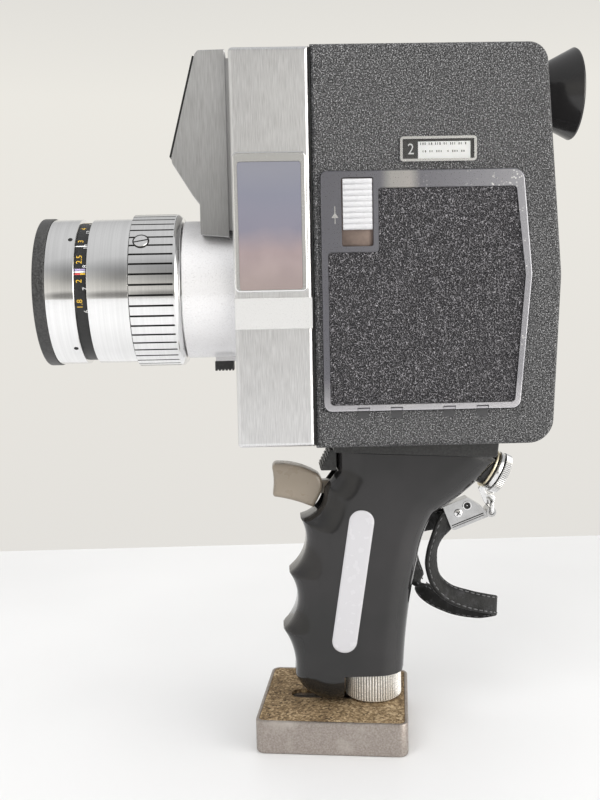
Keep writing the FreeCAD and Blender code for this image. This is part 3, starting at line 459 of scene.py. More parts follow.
NODE_FINISH = {
    "wrinkle_paint": ["body_shell"],
    "hinge_metal": ["door_hinge"],
    "anodised_black": ["case_screws", "hood_front_plate", "eyepiece_sleeve", "footage_dial"],
    "rubber_black": ["seam_gasket", "drive_belt"],
    "brushed_aluminium": ["front_housing"],
    "hood_aluminium": ["meter_hood"],
    "band_satin": ["side_trim_bands"],
    "bezel_silver": ["panel_bezel", "chart_bezel"],
    "mirror_plate": ["panel_plate"],
    "clear_glass": ["meter_window", "chart_glass"],
    "finder_glass": ["eyepiece_lens"],
    "inner_black": ["exposure_meter", "finder_tube"],
    "door_aluminium": ["film_door_frame"],
    "leatherette": ["film_door_panel"],
    "latch_silver": ["latch_slide"],
    "machined_steel": ["shutter", "gate_plate", "film_claw", "trigger_spring", "chassis"],
    "printed_card": ["chart_card"],
    "eyecup_black": ["eyecup"],
    "ring_polished": ["lens_tube", "focus_ring"],
    "zoom_polished": ["zoom_ring", "zoom_ring_screw"],
    "barrel_satin": ["lens_mount_barrel"],
    "textured_black": ["lens_lever", "grip_saddle", "finger_stop", "distance_scale_ring", "lens_front_rim"],
    "lens_glass": ["front_lens", "variator_lens", "fixed_optics"],
    "motor_steel": ["motor"],
    "brass": ["motor_pulley", "take_up_spindle", "thread_bushes"],
    "battery_wrap": ["batteries"],
    "grip_black": ["grip_left", "grip_right"],
    "pill_white": ["grip_inlays"],
    "knurled_chrome": ["grip_screw", "strap_screw", "stand_screw"],
    "tan_plastic": ["trigger"],
    "chrome": ["strap_boss", "bail"],
    "clip_chrome": ["strap_clip"],
    "strap_leather": ["wrist_strap"],
    "stand_metal": ["stand_block"],
    "cork": ["stand_cork"],
}


def dress(obj, finish):
    obj.data.materials.clear()
    obj.data.materials.append(FINISHES[finish])
    return obj


for finish_name, node_names in NODE_FINISH.items():
    for node_name in node_names:
        dress(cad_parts[node_name], finish_name)

# ---------------------------------------------------------------- mesh helpers

SMOOTH_ANGLE = math.radians(34)
SAME_POINT = 1e-4
SIDES = ((-1, "left"), (1, "right"))


def linked(name, data):
    obj = bpy.data.objects.new(name, data)
    bpy.context.scene.collection.objects.link(obj)
    return obj


def finished_mesh(obj):
    """The object's mesh once its modifiers or its lettering are worked out."""
    bpy.context.view_layer.update()
    return bpy.data.meshes.new_from_object(obj.evaluated_get(bpy.context.evaluated_depsgraph_get()))


def ring_faces(rows, count, start=0, closed=False):
    """Quads between neighbouring rings of count points, and a face over each end of an open run."""
    faces = []
    for row in range(rows if closed else rows - 1):
        here, after = start + row * count, start + (row + 1) % rows * count
        faces += [(here + k, here + (k + 1) % count, after + (k + 1) % count, after + k)
                  for k in range(count)]
    if not closed:
        last = start + (rows - 1) * count
        faces += [tuple(range(start, start + count)), tuple(range(last, last + count))]
    return faces


def add_piece(name, points, faces, finishes, body, face_finish=None, smooth_angle=SMOOTH_ANGLE):
    """A piece from points in the camera's millimetres and the faces between them, riding on a body."""
    mesh = bpy.data.meshes.new(name)
    mesh.from_pydata([place(*p) for p in points], [], faces)
    obj = linked(name, mesh)
    for finish in [finishes] if isinstance(finishes, str) else finishes:
        mesh.materials.append(FINISHES[finish])
    if face_finish:
        mesh.polygons.foreach_set("material_index", face_finish)
    shade(mesh, smooth_angle)
    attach(obj, body)
    return obj


def shade(mesh, angle=SMOOTH_ANGLE):
    work = bmesh.new()
    work.from_mesh(mesh)
    bmesh.ops.recalc_face_normals(work, faces=work.faces)
    work.to_mesh(mesh)
    work.free()
    mesh.polygons.foreach_set("use_smooth", [True] * len(mesh.polygons))
    mesh.set_sharp_from_angle(angle=angle)
    mesh.update()


def rounded(corners, steps=4):
    """Points of an outline whose corners (u, v, radius) are rounded; works for open and closed outlines."""
    points = []
    count = len(corners)
    for i, (u, v, radius) in enumerate(corners):
        here = Vector((u, v))
        if radius == 0:
            points.append((u, v))
            continue
        before = (Vector(corners[i - 1][:2]) - here).normalized()
        after = (Vector(corners[(i + 1) % count][:2]) - here).normalized()
        half = before.angle(after) / 2
        reach = radius / math.tan(half)
        centre = here + (before + after).normalized() * (radius / math.sin(half))
        start = here + before * reach - centre
        sweep = start.angle_signed(here + after * reach - centre)
        for k in range(steps + 1):
            turned = Matrix.Rotation(-sweep * k / steps, 2) @ start
            points.append(tuple(centre + turned))
    return points


def arc_through(start, middle, end, steps):
    """Points after start along the circle through three points."""
    (ax, ay), (bx, by), (cx, cy) = start, middle, end
    d = 2 * (ax * (by - cy) + bx * (cy - ay) + cx * (ay - by))
    a2, b2, c2 = ax * ax + ay * ay, bx * bx + by * by, cx * cx + cy * cy
    centre = Vector(((a2 * (by - cy) + b2 * (cy - ay) + c2 * (ay - by)) / d,
                     (a2 * (cx - bx) + b2 * (ax - cx) + c2 * (bx - ax)) / d))
    first, second, last = (Vector(p) - centre for p in (start, middle, end))
    sweep = first.angle_signed(second) + second.angle_signed(last)
    return [tuple(centre + Matrix.Rotation(-sweep * k / steps, 2) @ first) for k in range(1, steps + 1)]


def path_points(start, steps, spacing=1.0):
    """An outline from lines (u, v) and arcs (middle, end), with points about spacing apart."""
    points = [start]
    for step in steps + [start]:
        here = points[-1]
        if isinstance(step[0], tuple):
            middle, end = step
            length = math.dist(here, middle) + math.dist(middle, end)
            points += arc_through(here, middle, end, max(4, round(length / spacing)))
        else:
            parts = max(1, round(math.dist(here, step) / spacing))
            points += [tuple(Vector(here).lerp(Vector(step), k / parts)) for k in range(1, parts + 1)]
    return points[:-1] if math.dist(points[0], points[-1]) < 1e-6 else points


def densified(points, spacing):
    dense = []
    for i, here in enumerate(points):
        there = points[(i + 1) % len(points)]
        parts = max(1, round(math.dist(here, there) / spacing))
        dense += [tuple(Vector(here).lerp(Vector(there), k / parts)) for k in range(parts)]
    return dense


def lathe(name, profile, centre, axis, finishes, body, segments=128, wave=None, groove=None,
          closed=True):
    """A turned piece: profile is (along, radius) points round an axis through centre, and segments
    is a number of steps or a list of angles. wave(along, angle, radius) may change the radius, and
    groove(along, angle, radius) says which faces take the second finish."""
    axis = Vector(axis).normalized()
    side = Y_AXIS.copy() if abs(axis.y) < 0.9 else X_AXIS.copy()
    side = (side - axis * side.dot(axis)).normalized()
    other = axis.cross(side)
    angles = segments if isinstance(segments, list) else [math.tau * k / segments for k in range(segments)]
    points = []
    for along, radius in profile:
        for angle in angles:
            r = wave(along, angle, radius) if wave else radius
            outwards = side * math.cos(angle) + other * math.sin(angle)
            points.append(Vector(centre) + axis * along + outwards * r)
    rows = len(profile)
    marks = []
    if groove:
        for i in range(rows if closed else rows - 1):
            along = (profile[i][0] + profile[(i + 1) % rows][0]) / 2
            for k, angle in enumerate(angles):
                step = (angles[(k + 1) % len(angles)] - angle) % math.tau
                marks.append(groove(along, angle + step / 2, profile[i][1]))
        marks += [] if closed else [0, 0]
    faces = ring_faces(rows, len(angles), closed=closed)
    return add_piece(name, points, faces, finishes, body, marks or None)


def distances(points, outline, sharp=None):
    """Each point's distance to a closed outline, or to the part of it that isn't sharp."""
    p = np.array(points, float)[:, None, :]
    a = np.array(outline, float)[None, :, :]
    run = np.roll(a, -1, axis=1) - a
    if sharp:
        keep = [not sharp(*(a[0, i] + run[0, i] / 2)) for i in range(len(outline))]
        a, run = a[:, keep], run[:, keep]
    share = np.clip(((p - a) * run).sum(2) / (run * run).sum(2), 0, 1)
    return np.sqrt((((a + run * share[..., None]) - p) ** 2).sum(2)).min(1)


def domed(name, outline, y_back, y_edge, y_top, round_in, finish, body, spacing=1.0, fill=3.5, levels=7,
          sharp=None):
    """A moulded piece seen along Y: a flat back, and a face whose edge rolls over within round_in of
    the outline. sharp(x, z) is true where the outline is a plain cut edge instead."""
    outline = densified(outline, spacing)
    outline = [p for i, p in enumerate(outline) if math.dist(p, outline[i - 1]) > SAME_POINT]
    flat = np.array(outline, float)
    run = np.roll(flat, -1, axis=0) - np.roll(flat, 1, axis=0)
    normal = np.stack([run[:, 1], -run[:, 0]], 1) / np.linalg.norm(run, axis=1)[:, None]
    area = 0.5 * np.sum(flat[:, 0] * np.roll(flat[:, 1], -1) - np.roll(flat[:, 0], -1) * flat[:, 1])
    inward = -normal if area > 0 else normal
    inner = []
    for k in range(1, levels + 1):
        depth = round_in * (1 - math.cos(math.pi / 2 * k / levels))
        ring = flat + inward * depth
        keep = distances(ring, outline) > depth - 0.03
        inner += [tuple(p) for p, good in zip(ring, keep) if good]
    low, high = flat.min(0), flat.max(0)
    grid = [(x, z) for x in np.arange(low[0], high[0], fill) for z in np.arange(low[1], high[1], fill)]
    grid = [p for p, d in zip(grid, distances(grid, outline)) if d > round_in + fill * 0.4]
    corners = [Vector(p) for p in outline + inner + grid]
    edges = [(i, (i + 1) % len(outline)) for i in range(len(outline))]
    verts, _, faces, *_ = delaunay_2d_cdt(corners, edges, [], 1, 1e-5)
    depth = np.minimum(distances([tuple(v) for v in verts], outline, sharp) / round_in, 1)
    heights = y_edge + (y_top - y_edge) * np.sqrt(1 - (1 - depth) ** 2)
    points = [(v.x, float(y), v.y) for v, y in zip(verts, heights)] + [(v.x, y_back, v.y) for v in verts]
    offset = len(verts)
    sides = dict.fromkeys((face[i], face[(i + 1) % 3]) for face in faces for i in range(3))
    walls = [(a, b, b + offset, a + offset) for a, b in sides if (b, a) not in sides]
    backs = [tuple(i + offset for i in reversed(face)) for face in faces]
    return add_piece(name, points, [tuple(f) for f in faces] + walls + backs, finish, body)


def carve(obj, *cutters):
    """Cut boxes out of a piece; the cutters are removed."""
    for cutter in cutters:
        modifier = obj.modifiers.new("cut", "BOOLEAN")
        modifier.operation = "DIFFERENCE"
        modifier.solver = "EXACT"
        modifier.object = cutter
        cut = finished_mesh(obj)
        obj.modifiers.clear()
        obj.data = cut
        bpy.data.objects.remove(cutter)
    shade(obj.data)
    return obj


def cutter_box(low, high):
    work = bmesh.new()
    bmesh.ops.create_cube(work, size=1)
    for vert in work.verts:
        vert.co = place(*(a + (b - a) * (c + 0.5) for a, b, c in zip(low, high, vert.co)))
    mesh = bpy.data.meshes.new("cutter")
    work.to_mesh(mesh)
    work.free()
    return linked("cutter", mesh)


def block(name, low, high, finish, body, edge=0.2):
    """A box with softened edges."""
    work = bmesh.new()
    bmesh.ops.create_cube(work, size=1)
    for vert in work.verts:
        vert.co = Vector(a + (b - a) * (c + 0.5) for a, b, c in zip(low, high, vert.co))
    bmesh.ops.bevel(work, geom=work.edges[:], offset=edge, segments=3, affect="EDGES", profile=0.5)
    work.verts.index_update()
    points = [tuple(v.co) for v in work.verts]
    faces = [tuple(v.index for v in face.verts) for face in work.faces]
    work.free()
    return add_piece(name, points, faces, finish, body)


def text_mesh(words, size):
    """Points and faces of some figures in millimetres, centred on their middle."""
    curve = bpy.data.curves.new("figures", "FONT")
    curve.body = words
    curve.size = size
    curve.align_x = "CENTER"
    curve.align_y = "CENTER"
    curve.resolution_u = 3
    obj = linked("figures", curve)
    mesh = finished_mesh(obj)
    points = [(v.co.x, v.co.y) for v in mesh.vertices]
    faces = [tuple(p.vertices) for p in mesh.polygons]
    bpy.data.objects.remove(obj)
    bpy.data.meshes.remove(mesh)
    return points, faces


# ---------------------------------------------------------------- zoom lens

LENS_CENTRE = (0, 0, LENS_Z)
RING_R = 27.4
ZOOM_R = 28.8
SCALE_R = 26.0
BORE_R = 23.3
FLUTES = 48
FLUTE_FRONT, FLUTE_BACK = -65.95, -50.2
FLUTE_DEPTH = 0.8
HALF_FLUTE = 0.36 / ZOOM_R
LENS_STEPS = 144
RIM_THREADS, THREAD_PITCH = 5, 0.6
SET_SCREWS, SET_SCREW_X = 3, -87.3
PRINT_LIFT = 0.03


def lens_front_rim():
    profile = rounded([(-95.95, 24.6, 0), (-95.95, 27.8, 0.25), (-100.3, 27.8, 0.7), (-100.3, 25.3, 0.3),
                       (-99.5, 24.7, 0)])
    for i in range(RIM_THREADS):
        profile += [(-99.2 + THREAD_PITCH * i, 24.5), (-98.9 + THREAD_PITCH * i, 24.8)]
    rim = lathe("front_rim", profile, LENS_CENTRE, X_AXIS, "rim_black", "focus_ring",
                LENS_STEPS)
    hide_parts("lens_front_rim")
    inner = rounded([(-95.2, 22.4, 0.1), (-96.4, 22.9, 0.2), (-96.5, 24.35, 0.2), (-95.95, 24.4, 0),
                     (-95.95, 23.4, 0)])
    lathe("front_retaining_ring", inner, LENS_CENTRE, X_AXIS, "inner_black", "focus_ring")


def focus_ring():
    profile = rounded([(-85.4, BORE_R, 0), (-85.4, RING_R, 0.35), (-95.9, RING_R, 0.2), (-95.9, 22.7, 0.2),
                       (-89.0, 22.6, 0), (-89.0, BORE_R, 0)])
    ring = lathe("focus_ring_sleeve", profile, LENS_CENTRE, X_AXIS, "ring_polished", "focus_ring",
                 LENS_STEPS)
    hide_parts("focus_ring")
    for i in range(SET_SCREWS):
        angle = math.radians(43 - 92 * i)
        centre = ring_point(SET_SCREW_X, angle, RING_R - 0.3)
        lathe(f"focus_set_screw_{i + 1}", [(0.0, 0.85), (0.33, 0.85), (0.36, 0.75), (0.36, 0.03)], centre,
              ring_normal(angle), ["inner_black"], "focus_ring", 20, closed=False)


def ring_normal(angle):
    """Outwards from the lens axis; 0 is the film door's side and a quarter turn is up."""
    return Vector((0, -math.cos(angle), math.sin(angle)))


def ring_point(along, angle, radius):
    return tuple(Vector((along, 0, LENS_Z)) + ring_normal(angle) * radius)


def distance_scale():
    profile = rounded([(-81.35, BORE_R, 0), (-81.35, SCALE_R, 0.15), (-85.4, SCALE_R, 0.15),
                       (-85.4, BORE_R, 0)])
    ring = lathe("distance_scale_sleeve", profile, LENS_CENTRE, X_AXIS, "anodised_black", "focus_ring",
                 LENS_STEPS)
    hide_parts("distance_scale_ring")
    metres = ("1.8", "2", "2.5", "3", "4", "5", "10")
    feet = ("6", "7", "8", "10", "12", "15", "30")
    wrapped_figures("scale_figures_near", metres, 2.9, -83.7, "paint_yellow", -10, 18)
    wrapped_figures("scale_figures_far", feet, 2.3, -81.6, "paint_white", -16, 18)
    marks = (("white", "paint_lilac", 17.2, 0.7, (-85.2, -81.5)),
             ("upper", "paint_white", 15.4, 0.55, (-85.2, -81.5)),
             ("red", "paint_red", 13.7, 0.6, (-85.2, -83.3)),
             ("yellow", "paint_yellow", 13.7, 0.6, (-83.2, -81.5)),
             ("top", "paint_white", 38.5, 0.5, (-85.2, -81.5)))
    for name, finish, degrees, width, ends in marks:
        curved_bar(f"scale_mark_{name}", finish, math.radians(degrees), width, ends)


def wrapped_figures(name, words, size, along, finish, first, pitch):
    """Figures wrapped round the distance scale, reading upwards, their tops towards the lens front."""
    points = []
    faces = []
    for i, word in enumerate(words):
        flat, tris = text_mesh(word, size)
        start = len(points)
        for u, v in flat:
            angle = math.radians(first + pitch * i) + u / SCALE_R
            points.append(ring_point(along - v, angle, SCALE_R + PRINT_LIFT))
        faces += [tuple(start + k for k in tri) for tri in tris]
    add_piece(name, points, faces, finish, "focus_ring")


def curved_bar(name, finish, angle, width, ends):
    parts = 4
    points = []
    for k in range(parts + 1):
        a = angle + width / SCALE_R * (k / parts - 0.5)
        points += [ring_point(x, a, SCALE_R + PRINT_LIFT) for x in ends]
    faces = [(2 * k, 2 * k + 1, 2 * k + 3, 2 * k + 2) for k in range(parts)]
    add_piece(name, points, faces, finish, "focus_ring")


def lens_sleeve():
    """The fixed tube, with the polished ring between the focus ring and the zoom ring."""
    profile = rounded([(-20.5, 21.0, 0), (-20.5, 23.0, 0), (-66.3, 23.0, 0), (-66.3, 27.3, 0.2),
                       (-81.0, 27.3, 0.25), (-81.0, 23.0, 0), (-88.5, 23.0, 0.1), (-88.5, 21.0, 0.1)])
    sleeve = lathe("lens_sleeve", profile, LENS_CENTRE, X_AXIS, "ring_polished", "camera",
                   LENS_STEPS)
    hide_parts("lens_tube")


def zoom_ring():
    rest = math.tau / FLUTES - 2 * HALF_FLUTE
    angles = []
    for i in range(FLUTES):
        middle = math.tau * (i + 0.5) / FLUTES
        angles += [middle + HALF_FLUTE * share for share in (-1, -0.45, 0.45, 1)]
        angles += [middle + HALF_FLUTE + rest * share for share in (0.25, 0.5, 0.75)]

    def off_middle(angle):
        return abs((angle * FLUTES / math.tau) % 1 - 0.5) * math.tau / FLUTES

    def on_flutes(along, radius):
        return radius > ZOOM_R - 0.35 and FLUTE_FRONT - 0.1 <= along <= FLUTE_BACK

    def flute(along, angle, radius):
        cut = off_middle(angle) < HALF_FLUTE * 0.7 and on_flutes(along, radius)
        return radius - FLUTE_DEPTH if cut else radius

    # Flute faces take inner_black: painted shade in the grooves.
    def dark(along, angle, radius):
        return int(off_middle(angle) < HALF_FLUTE and on_flutes(along, radius))

    profile = [(-65.9, BORE_R), (-65.9, ZOOM_R - 0.3), (-65.75, ZOOM_R - 0.05), (-65.5, ZOOM_R),
               (FLUTE_BACK, ZOOM_R), (FLUTE_BACK + 0.1, ZOOM_R), (-49.5, ZOOM_R), (-49.2, ZOOM_R - 0.1),
               (-47.9, 27.5), (-47.8, 27.3), (-47.8, BORE_R)]
    ring = lathe("zoom_ring_sleeve", profile, LENS_CENTRE, X_AXIS, ["zoom_polished", "inner_black"],
                 "zoom_ring", angles, flute, dark)
    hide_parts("zoom_ring")
    screw = slotted_head("zoom_screw_head", -61.6, 52.5)
    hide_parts("zoom_ring_screw")


def slotted_head(name, along_lens, degrees_from_top, head_r=2.55, half_slot=0.3, steps=15):
    """A flush slotted screw let into the zoom ring: two half heads over a dark seat, which paints shade in
    the slot and round the head.
    """
    normal = ring_normal(math.radians(90 - degrees_from_top))
    across = normal.cross(X_AXIS)
    base = Vector((along_lens, 0, LENS_Z)) + normal * (ZOOM_R + 0.02)
    # The dark seat is painted shade, seen through the slot and round the head.
    lathe(name + "_seat", [(-0.3, 3.05), (0.04, 3.05), (0.07, 2.95), (0.07, 0.03)], tuple(base), normal,
          "inner_black", "zoom_ring", 32, closed=False)
    points = []
    faces = []
    tilt = math.radians(12)
    along = X_AXIS * math.cos(tilt) + across * math.sin(tilt)
    beside = across * math.cos(tilt) - X_AXIS * math.sin(tilt)
    turns = [math.pi * (k + 0.5) / steps for k in range(steps)]
    outline = [(head_r * math.cos(turn), max(half_slot, head_r * math.sin(turn))) for turn in turns]
    levels = ((-0.2, 1.0), (0.12, 1.0), (0.2, 0.96))
    for sign in (-1, 1):
        faces += ring_faces(len(levels), steps, len(points))
        for height, shrink in levels:
            points += [tuple(base + along * u * shrink + beside * sign * v * shrink + normal * height)
                       for u, v in outline]
    return add_piece(name, points, faces, "zoom_polished", "zoom_ring")


# ---------------------------------------------------------------- finder, window and door details

CARD_INK_Y = -29.78


def eyecup():
    profile = rounded([(86.1, 8.6, 0), (86.0, 10.0, 0.3), (91.5, 12.35, 3.0), (100.4, 16.9, 0.25),
                       (101.15, 16.6, 0.3), (100.9, 15.3, 0.3), (92.2, 10.2, 0.8), (91.8, 8.6, 0.2)])
    cup = lathe("eyecup_cone", profile, (0, 0, FINDER_Z), X_AXIS, "eyecup_black", "eyepiece",
                112)
    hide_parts("eyecup")


def footage_window():
    """The window's black mask with the dial's figure, and the printed card beside it."""
    block("window_mask", (31.9, -29.55, 31.0), (57.1, -29.15, 37.85), "inner_black", "camera",
          0.05)
    block("card_printed", (37.4, -29.75, 31.1), (55.9, -29.6, 37.0), "printed_card", "camera",
          0.05)
    figure, tris = text_mesh("2", 5.4)
    points = [(34.9 + u * 0.9, -29.62, 34.3 + v) for u, v in figure]
    add_piece("window_figure", points, tris, "paint_white", "camera")
    points = []
    faces = []
    rows = ((36.2, 0.42, 0.75), (33.6, 0.36, 0.8))
    for z, height, pitch in rows:
        for i in range(int(17.0 / pitch)):
            if i % 7 in (3, 6) or (i * 5 + int(z)) % 11 == 0:
                continue
            x0 = 38.2 + pitch * i
            x1 = x0 + pitch * (0.35 + 0.3 * ((i * 3 + int(z)) % 4) / 4)
            start = len(points)
            low, high = z - height, z + height
            points += [(x, CARD_INK_Y, level) for x, level in ((x0, low), (x1, low), (x1, high), (x0, high))]
            faces.append(tuple(range(start, start + 4)))
    add_piece("card_rows", points, faces, "print_ink", "camera")


def latch_details():
    """The slider's ribbed face, the brassy floor of its recess, and a small arrow beside it."""
    block("latch_recess_floor", (10.15, -29.5, 1.1), (21.25, -29.38, 24.8), "recess_gold", "film_door",
          0.04)
    ribs = 9
    low, high = 6.8, 24.4
    pitch = (high - low) / ribs
    rib = ((0.0, 0.0), (0.12, 0.3), (0.35, 0.52), (0.6, 0.5), (0.85, 0.28), (0.96, 0.0))
    outline = [(low + pitch * (i + share), -31.6 - lift) for i in range(ribs) for share, lift in rib]
    outline += [(high, -31.6), (high, -29.95), (low, -29.95)]
    x_levels = ((10.55, 0.12), (10.7, 0.0), (20.7, 0.0), (20.85, 0.12))
    points = [(x, y + (inset if y < -31 else 0), z) for x, inset in x_levels for z, y in outline]
    faces = ring_faces(len(x_levels), len(outline))
    slider = add_piece("latch_slider", points, faces, "latch_silver", "door_latch")
    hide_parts("latch_slide")
    block("latch_stem", (14.2, -30.2, 19.0), (16.8, -26.8, 22.0), "machined_steel", "door_latch",
          0.1)
    block("latch_tongue", (13.0, -27.6, 18.0), (18.0, -26.8, 25.9), "machined_steel", "door_latch",
          0.1)
    arrow = [(7.6, 8.9), (7.9, 8.9), (7.9, 11.0), (9.0, 11.0), (7.9, 12.6), (7.9, 15.0), (7.6, 15.0),
             (7.6, 12.6), (6.5, 11.0), (7.6, 11.0)]
    points = [(x, -31.33, z) for x, z in arrow]
    add_piece("door_arrow", points, [tuple(range(len(arrow)))], "bezel_silver", "film_door")


def casing_details():
    """A raised bead behind the front seam on each side."""
    for side, name in SIDES:
        y0, y1 = sorted((side * 29.9, side * 30.25))
        block(f"casing_bead_{name}", (1.0, y0, -69.6), (1.75, y1, 69.6), "wrinkle_paint", "camera",
              0.12)


# ---------------------------------------------------------------- grip and trigger

GRIP_HALF = 14.0
GRIP_EDGE = 4.5
GRIP_ROUND = 11.0
GRIP_START = (8.6, -75.4)
GRIP_STEPS = [
    (68.6, -78.6),
    (71.2, -80.6),
    ((57.5, -93.8), (46.2, -101.4)),
    ((42.2, -109.5), (39.7, -119.5)),
    ((36.6, -136), (33.9, -163.6)),
    (9.9, -163.6),
    (9.7, -175.0),
    ((-1.6, -173.4), (-9.0, -165.0)),
    ((-9.6, -155), (-13.4, -146.4)),
    ((-7.6, -134.2), (-10.6, -123.8)),
    ((-3.8, -111.4), (-5.8, -102.2)),
    ((1.6, -97.4), (3.4, -90.2)),
    (8.6, -83.4),
]


def sharp_on_grip(x, z):
    """True on the grip's cut edges: under the saddle, over the knob, and beside it."""
    under_saddle = z > -75.4 - (x - 8.6) * 0.0535 - 0.4
    over_knob = abs(z + 163.6) < 0.05 and x > 9.8
    beside_knob = 9.6 < x < 9.95 and z < -163.5
    return under_saddle or over_knob or beside_knob


def grip():
    """The two shells, each with its inlaid strip and the dark groove round it, the groove's darkness painted
    shade.
    """
    outline = path_points(GRIP_START, GRIP_STEPS)
    for side, name in SIDES:
        half = domed(f"grip_shell_{name}", outline, side * 0.06, side * GRIP_EDGE, side * GRIP_HALF,
                     GRIP_ROUND, "grip_black", "camera", sharp=sharp_on_grip, levels=9)
        y0, y1 = sorted((-side * 0.5, side * 5.4))
        carve(half, cutter_box((-12, y0, -99.6), (9.5, y1, -83.0)))
        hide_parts(f"grip_{name}")
    pill = rounded([(13.1, -97.0, 4.7), (22.8, -98.4, 4.7), (14.2, -154.4, 4.7), (4.5, -153.0, 4.7)], 12)
    surround = rounded([(12.9, -96.7, 4.9), (23.05, -98.1, 4.9), (14.4, -154.7, 4.9), (4.25, -153.25, 4.9)],
                       12)
    for side, name in SIDES:
        inlay = domed(f"grip_inlay_{name}", pill, side * 13.2, side * 13.95, side * 14.25, 1.2,
                      "pill_white", "camera", spacing=0.8, levels=4)
        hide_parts("grip_inlays")
        # A thin dark shell round the pill's edge: painted shade in the groove.
        domed(f"grip_inlay_shade_groove_{name}", surround, side * 13.3, side * 14.0, side * 14.04, 0.3,
              "inner_black", "camera", spacing=0.8, levels=2)


TRIGGER_START = (-14.2, -80.5)
TRIGGER_STEPS = [
    ((-5.6, -81.9), (1.4, -85.2)),
    ((3.1, -88.6), (2.6, -92.2)),
    (-0.6, -98.3),
    ((-7.6, -95.6), (-15.0, -93.8)),
    ((-16.1, -93.4), (-16.4, -92.4)),
    ((-16.0, -87.0), (-16.5, -82.4)),
    ((-15.9, -81.0), (-14.2, -80.5)),
]


def trigger():
    outline = path_points(TRIGGER_START, TRIGGER_STEPS, 0.7)
    for side, name in SIDES:
        half = domed(f"trigger_{name}", outline, 0.0, side * 3.3, side * 4.8, 2.0, "tan_plastic", "trigger",
                     spacing=0.7, fill=1.6, levels=5)
        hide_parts("trigger")
    block("trigger_stem", (0.0, -2.5, -93.0), (10.2, 2.5, -88.0), "tan_plastic", "trigger",
          0.2)


SPRING_FRONT, SPRING_BACK = 10.7, 18.3
SPRING_Z = -90.5
SPRING_R = 1.9
SPRING_WIRE = 0.35
SPRING_TURNS = 5


def trigger_spring():
    """The trigger's return coil, built in its rest shape."""
    steps, sides = 24 * SPRING_TURNS, 8
    lead = (SPRING_BACK - SPRING_FRONT) / steps
    points = []
    for i in range(steps + 1):
        turn = math.tau * SPRING_TURNS * i / steps
        outwards = Vector((0, math.cos(turn), math.sin(turn)))
        centre = Vector((SPRING_FRONT + lead * i, 0, SPRING_Z)) + outwards * SPRING_R
        for k in range(sides):
            angle = math.tau * k / sides
            offset = (outwards * math.cos(angle) + X_AXIS * math.sin(angle)) * SPRING_WIRE
            points.append(tuple(centre + offset))
    coil = add_piece("trigger_coil", points, ring_faces(steps + 1, sides), "machined_steel", "camera")
    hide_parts("trigger_spring")
    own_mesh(coil)


def knurled(name, centre, axis, radius, length, teeth, finish, body, bore=0.0, edge=0.5, depth=0.16):
    """A knurled disc from centre along axis, with bevelled ends and painted shade on its valley faces."""
    inner = max(bore, 0.3)
    profile = [(0, inner), (0, radius - edge), (edge * 0.7, radius), (edge * 1.2, radius),
               (length - edge * 1.2, radius), (length - edge * 0.7, radius), (length, radius - edge),
               (length, inner)]

    def ripple(_, angle, r):
        return r if r < radius - 0.01 else r + depth * math.cos(teeth * angle) - depth

    # Valley faces take the darker second finish as painted shade.
    def valley(_, angle, r):
        return int(r > radius - 0.01 and math.cos(teeth * angle) < -0.1)

    return lathe(name, profile, centre, axis, [finish, "knurl_painted_shade"], body, teeth * 6, ripple, valley)


def grip_knob():
    knob = knurled("grip_knob", (22.3, 0, -175.4), Z_AXIS, 11.2, 11.2, 62, "knob_knurled", "grip_screw",
                   2.8, 0.55, 0.22)
    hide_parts("grip_screw")
    rod = rounded([(-175.2, 0.4, 0), (-175.2, 3.0, 0.2), (-66.6, 3.0, 0.6), (-66.6, 0.4, 0)])
    lathe("grip_rod", rod, (22.3, 0, 0), Z_AXIS, "machined_steel", "grip_screw", 32)


CAP_AXIS = Vector((0.884, 0, -0.468)).normalized()
CAP_BASE = Vector((68.8, 0, -84.9))
LUG = Vector((69.6, 0, -97.6))
BAIL_DROP = 4.6


def strap_post():
    """The strap screw at the back of the grip: post, cream washer, black washer, bright collar and
    knurled head, and the lug that holds the wire bail."""
    def ring(name, start, end, radius, finish, edge, inner=2.8):
        profile = rounded([(start, inner, 0), (start, radius, edge), (end, radius, edge), (end, inner, 0)])
        return lathe(name, profile, tuple(CAP_BASE), CAP_AXIS, finish, "camera", 80)

    post = ring("strap_post", -5.5, 0.0, 6.9, "textured_black", 0.1)
    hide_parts("strap_boss")
    ring("strap_washer_cream", -0.2, 0.75, 7.9, "cream_brass", 0.25)
    ring("strap_washer_black", 0.75, 1.5, 7.2, "anodised_black", 0.1)
    ring("strap_collar", 1.5, 3.35, 8.0, "chrome", 0.35)
    lug = rounded([(65.8, -90.8, 0), (67.2, -92.0, 0.4), (68.2, -94.8, 0.8), (71.8, -96.4, 1.5),
                   (71.4, -99.8, 1.5), (67.6, -99.4, 1.5), (65.0, -93.0, 0)])
    for side, name in SIDES:
        domed(f"strap_lug_{name}", lug, 0.0, side * 0.5, side * 0.7, 0.4, "chrome", "camera",
              spacing=0.6, fill=1.5, levels=3)
    head_centre = tuple(CAP_BASE + CAP_AXIS * 3.7)
    head = knurled("strap_screw_head", head_centre, CAP_AXIS, 8.3, 2.9, 64, "knurled_chrome", "strap_screw",
                   0.0, 0.35)
    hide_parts("strap_screw")
    lathe("strap_screw_shank", [(-4.5, 0.3), (-4.5, 2.45), (3.7, 2.45), (3.7, 0.3)], tuple(CAP_BASE),
          CAP_AXIS, "machined_steel", "strap_screw", 24)


def wire_loop():
    """The wire bail: one closed wire with rounded corners."""
    corners = rounded([(-4.6, 0.0, 1.3), (4.6, 0.0, 1.3), (4.6, -BAIL_DROP, 1.3), (-4.6, -BAIL_DROP, 1.3)], 5)
    route = [LUG + Vector((0, u, v)) for u, v in densified(corners, 0.8)]
    loop = pipe("bail_wire", route, 0.8, 12, "chrome", "bail")
    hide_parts("bail")


